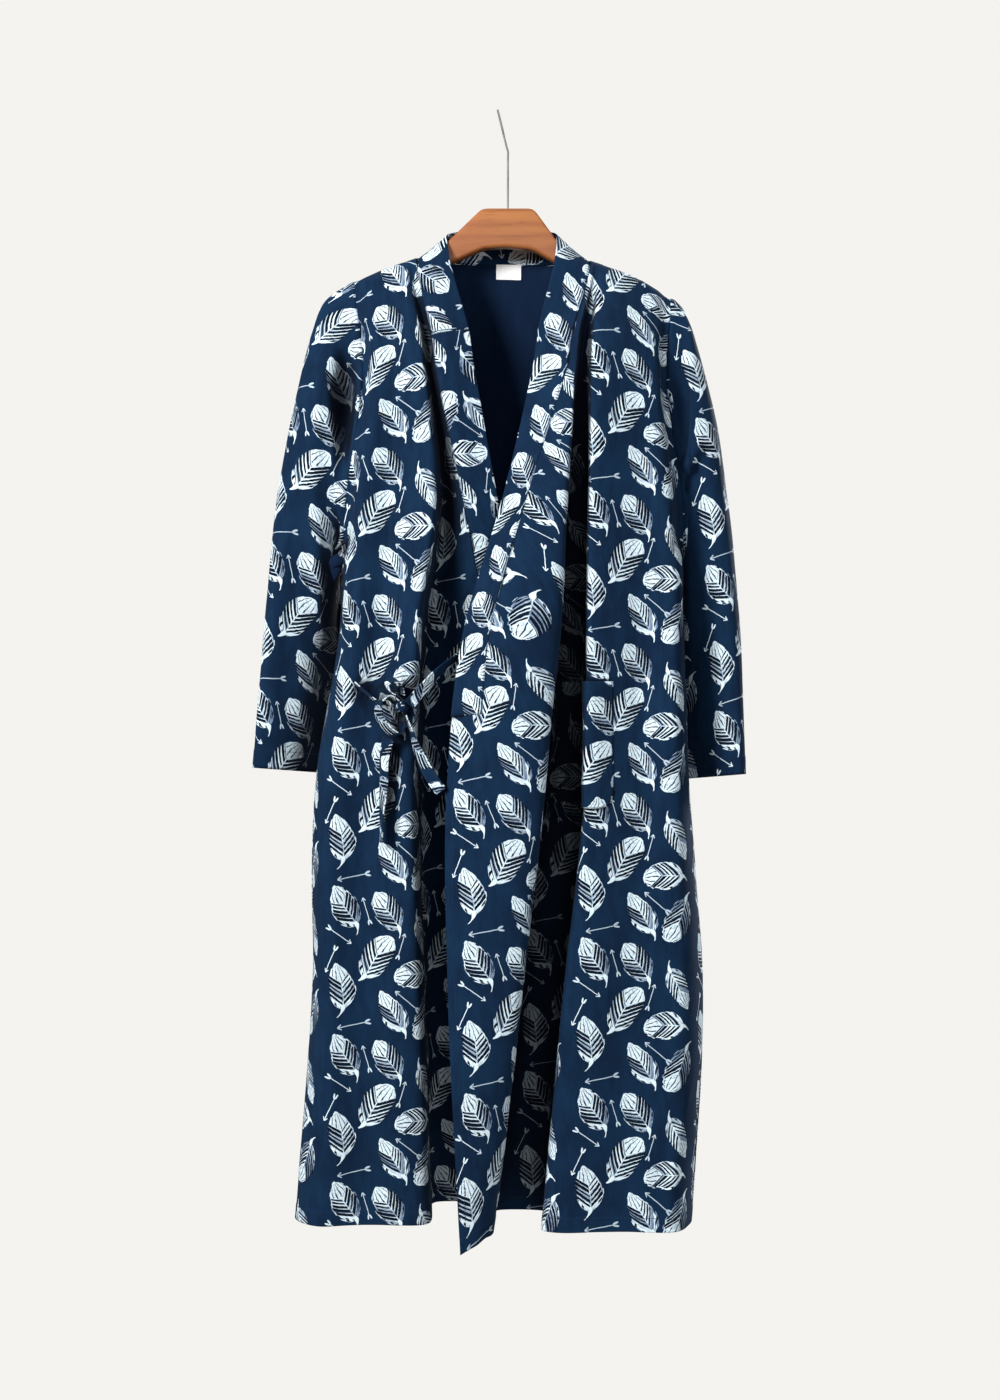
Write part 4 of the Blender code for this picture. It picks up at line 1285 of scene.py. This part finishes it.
def strap(name, path, width_start, width_end, finishes, width=TIE_WIDTH, thick=TIE, crimp=0.35):
    """A flat sewn strap along a smooth path; its width turns steadily from one direction to another."""
    count = STRAP_STEPS * (len(path) - 1) + 1
    points = np.array(path, float)[:, None, :]
    centre = spline(points, np.linspace(0, len(path) - 1, count)[:, None])[:, 0]
    ahead = unit(np.gradient(centre, axis=0))
    share = np.linspace(0, 1, count)[:, None]
    wide = np.array(width_start) * (1 - share) + np.array(width_end) * share
    wide = unit(wide - ahead * np.sum(wide * ahead, axis=-1, keepdims=True))
    flat = np.cross(wide, ahead)
    half, round_edge = width / 2, thick / 2
    section = [(-half + round_edge + k * (width - thick) / 10, 1.0) for k in range(11)]
    turns = np.linspace(0.5, 2.6, 5)
    section += [(half - round_edge + round_edge * math.sin(t), math.cos(t)) for t in turns]
    section += [(-a, -b) for a, b in section]
    run = running_length(centre[None], 1)[0]
    columns = []
    for aside, out in section:
        long_wave = np.sin(run / CRIMP_LENGTHS[0] + aside * 0.35)
        wave = crimp * long_wave + 0.5 * crimp * np.sin(run / CRIMP_LENGTHS[1] - aside * 0.5)
        columns.append(centre + wide * aside + flat * (out * round_edge + wave)[:, None])
    grid, _, turned = facing_away(np.stack(columns))
    across = running_length(np.concatenate([grid, grid[:1]]), 0)
    phase = PRINT_PHASE["ties"]
    # names of different lengths start at different places of the print
    prints = flat_map(across + phase[0], run + phase[1] + len(name) * 17)
    edge = np.abs([aside for aside, _ in (*section, section[0])])
    edge = edge[::-1] if turned else edge
    return tube(name, grid, prints, flat_map(run, (half - edge)[:, None] - STITCH_INSET), finishes)


def tube(name, grid, prints, sewing, finishes):
    """A ring of one skin with its two ends filled."""
    obj = shell(name, grid, prints, sewing, finishes, ring=True)
    obj.modifiers.clear()
    with edited(obj.data) as skin:
        bmesh.ops.holes_fill(skin, edges=[edge for edge in skin.edges if edge.is_boundary], sides=0)
    return obj


# The knot's wraps: radius, half depth, lean from upright in degrees, width, height on the knot
KNOT_WRAPS = ((6.4, 6.0, 18, 10.0, 0.5), (7.2, 6.6, -32, 8.0, -1.0), (5.6, 6.8, 62, 8.0, 1.5))
WRAP_POINTS = 13


def knot(finishes):
    """Turns of strap drawn tight round the crossing of the ties."""
    centre = np.array(KNOT)
    wraps = []
    for number, (radius, depth, lean, width, height) in enumerate(KNOT_WRAPS):
        tilt = math.radians(lean)
        sideways = np.array([math.cos(tilt), 0.0, math.sin(tilt)])
        axis = np.array([-math.sin(tilt), 0.0, math.cos(tilt)])
        path = [
            centre + sideways * radius * math.cos(t) + TO_FRONT * depth * math.sin(t) + axis * height
            for t in np.linspace(0, 2 * math.pi, WRAP_POINTS)
        ]
        wraps.append(strap(f"wrap_{number}", path, axis, axis, finishes, width=width, thick=1.6, crimp=0.25))
    mesh = wraps[0].data
    with edited(mesh) as whole:
        for wrap in wraps[1:]:
            whole.from_mesh(wrap.data)
    for wrap in wraps:
        bpy.data.objects.remove(wrap)
    mesh.shade_smooth()
    return added("bow_knot_wrapped", mesh)


def size_label(finish):
    """A small bare woven label, sewn along its top to the inside of the back."""
    drops = np.linspace(LABEL_TOP, LABEL_BOTTOM, LABEL_ROWS)
    middle = list(BACK).index("middle")
    near = np.linspace(middle - 1.0, middle + 1.0, FINE_READING)
    near_x = back(near, np.array([LABEL_TOP]))[:, 0, 0]
    places = np.interp(np.linspace(LABEL_RIGHT, LABEL_LEFT, LABEL_COLUMNS), near_x[::-1], near[::-1])
    grid, normals, _ = facing_out(back(places, drops), TO_FRONT)
    across = running_length(grid, 0)
    down = drops - LABEL_TOP
    # it stands clear of the cloth, bends away below, and its lower corners lift
    corner = smoothstep((np.abs(across / across[-1] - 0.5) - 0.36) / 0.14) * smoothstep((down - 9) / 8)
    lift = CLOTH / 2 + 0.7 + 0.012 * (down / 4) ** 2 + corner * 0.7
    grid = grid + normals * lift[..., None]
    prints = flat_map(across, down)
    sewing = np.full(prints.shape, FAR)
    return shell("size_label_woven", grid, prints, sewing, [finish, finish], thickness=0.45)


# ---------------------------------------------------------------- painted shade in the folds

FOLD_REACH = 0.11  # metres within which cloth shuts in a place
FOLD_SHARE = {"sleeve_left": 0.45, "sleeve_right": 1.15}  # how strongly a piece takes the painted shade
SKY_DIRECTIONS = 48
SKY_LEAST_SLOPE = 0.12  # directions that graze the cloth more than this are left out
OFF_CLOTH = 0.001  # where the rays start


def even_sky():
    """Directions spread evenly over a sphere."""
    count = np.arange(SKY_DIRECTIONS)
    up = 1 - (count + 0.5) * 2 / SKY_DIRECTIONS
    round_turn = count * math.pi * (3 - math.sqrt(5))
    level = np.sqrt(1 - up**2)
    return np.stack([level * np.cos(round_turn), level * np.sin(round_turn), up], axis=-1)


def paint_fold_shade(pieces):
    """Gives each mesh a UV map whose u tells how shut in a place is, for the painted shade of the folds: 0
    in the open, 1 deep in a fold.
    """
    places, normals, faces = [], [], []
    for piece in pieces.values():
        mesh = piece.data
        start = sum(map(len, places))
        place, normal = np.empty((len(mesh.vertices), 3)), np.empty((len(mesh.vertices), 3))
        mesh.vertices.foreach_get("co", place.reshape(-1))
        mesh.vertex_normals.foreach_get("vector", normal.reshape(-1))
        faces += [[corner + start for corner in polygon.vertices] for polygon in mesh.polygons]
        places.append(place)
        normals.append(normal)
    cloth = BVHTree.FromPolygons(np.concatenate(places).tolist(), faces)
    sky = even_sky()
    ways = [Vector(way) for way in sky]
    for name, place, normal in zip(pieces, places, normals):
        mesh, share = pieces[name].data, FOLD_SHARE.get(name, 1.0)
        facing = normal @ sky.T
        shut = np.zeros(len(place))
        for vertex, start in enumerate((place + normal * OFF_CLOTH).tolist()):
            seen = blocked = 0.0
            for way in np.flatnonzero(facing[vertex] > SKY_LEAST_SLOPE).tolist():
                weight = facing[vertex, way]
                seen += weight
                far = cloth.ray_cast(start, ways[way], FOLD_REACH)[3]
                if far is not None:
                    blocked += weight * (1 - far / FOLD_REACH)
            shut[vertex] = share * blocked / max(seen, 1e-6)
        corner = np.empty(len(mesh.loops), int)
        mesh.loops.foreach_get("vertex_index", corner)
        uv = mesh.uv_layers.new(name="fold")
        uv.data.foreach_set("uv", flat_map(shut[corner], 0.0).ravel())


# ---------------------------------------------------------------- the hanger


def hanger_bow(finish):
    """The wooden bow: its sections read every millimetre and their corners eased."""
    table = np.array(HANGER, float)
    x = np.arange(table[0, 0], table[-1, 0] + 0.5, 1.0)
    top, bottom, half = (np.interp(x, table[:, 0], table[:, k]) for k in (1, 2, 3))
    weights = np.exp(-((np.arange(-HANGER_EASE_REACH, HANGER_EASE_REACH + 1) / HANGER_EASE) ** 2))
    weights /= weights.sum()

    def ease(values):
        return np.convolve(np.pad(values, HANGER_EASE_REACH, mode="edge"), weights, mode="valid")

    top, bottom, half = ease(top), ease(bottom), ease(half)
    corner = np.minimum(HANGER_CORNER, np.minimum(half, (top - bottom) / 2) - HANGER_LEAST_FLAT)
    columns = []
    for quarter, (back_side, up) in enumerate(((1, 1), (-1, 1), (-1, -1), (1, -1))):
        for turn in np.linspace(0, math.pi / 2, 9):
            angle = turn + quarter * math.pi / 2
            y = back_side * (half - corner) + corner * math.cos(angle)
            z = (top + bottom) / 2 + up * ((top - bottom) / 2 - corner) + corner * math.sin(angle)
            columns.append(np.stack([x, y, z], axis=-1))
    grid = facing_away(np.stack(columns))[0]
    uv = np.zeros((len(grid) + 1, grid.shape[1], 2))
    return tube("hanger_bow", grid, uv, uv, [finish])


def hanger_wire(finish):
    """The wire neck and its open loop, as one bent wire with its ends closed."""
    rise = WIRE_RADIUS - NECK_TOP_Z
    lean = math.atan2(HOOK_X, rise)
    swing = math.radians(LOOP_SWING_DEGREES)
    centre_up = math.hypot(HOOK_X, rise) - LOOP_RADIUS

    def on_loop(back_and_forth, up):
        x = HOOK_X - up * math.sin(lean) + back_and_forth * math.sin(swing)
        return (x, back_and_forth * math.cos(swing), NECK_TOP_Z + up * math.cos(lean))

    points = [(HOOK_X, 0.0, z) for z in (WOOD_TOP_Z - HOLE_DEPTH, *NECK_POINTS_Z)]
    points.append(on_loop(LOOP_RADIUS * 0.3, 1.5))
    for degrees in range(LOOP_START_DEGREES, LOOP_END_DEGREES + 1, 10):
        turn = math.radians(degrees)
        points.append(on_loop(LOOP_RADIUS * math.sin(turn), centre_up - LOOP_RADIUS * math.cos(turn)))
    knots = np.array(points)[:, None, :]
    centre = spline(knots, np.linspace(0, len(points) - 1, 6 * len(points))[:, None])[:, 0]
    curve = bpy.data.curves.new("hanger_wire", "CURVE")
    curve.dimensions = "3D"
    curve.bevel_depth = WIRE_SHOWN * MM
    curve.bevel_resolution = 5
    curve.use_fill_caps = True
    path = curve.splines.new("POLY")
    path.points.add(len(centre) - 1)
    for place, point in zip(path.points, centre):
        place.co = (*(point * MM), 1.0)
    curve.materials.append(finish)
    return added("hanger_wire", curve)


# ---------------------------------------------------------------- putting it together


def stand_for(piece, node):
    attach(piece, "root")
    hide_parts(node)


def main():
    stand_camera()
    light_scene()
    lay_floor()
    printed = cotton("cotton_printed", True)
    wrong_side = cotton("cotton_wrong_side", False)
    cloth = [printed, wrong_side]
    double = [printed, printed]
    pieces = {
        "back": back_panel(cloth),
        "front_left": front("front_left", cloth),
        "front_right": front("front_right", cloth),
        "collar": collar(double),
        "sleeve_left": sleeve("sleeve_left", cloth),
        "sleeve_right": sleeve("sleeve_right", cloth),
        "pocket": pocket(cloth),
        "bow_knot": knot(double),
    }
    for name, (path, start, end) in STRAPS.items():
        pieces[name] = strap(name, path, start, end, double)
    paint_fold_shade(pieces)
    for node, piece in pieces.items():
        piece.name = f"{node}_cloth"
        stand_for(piece, node)
    stand_for(size_label(label_cloth()), "size_label")
    stand_for(hanger_bow(stained_wood()), "hanger_wood")
    stand_for(hanger_wire(steel_wire()), "hanger_hook")


main()
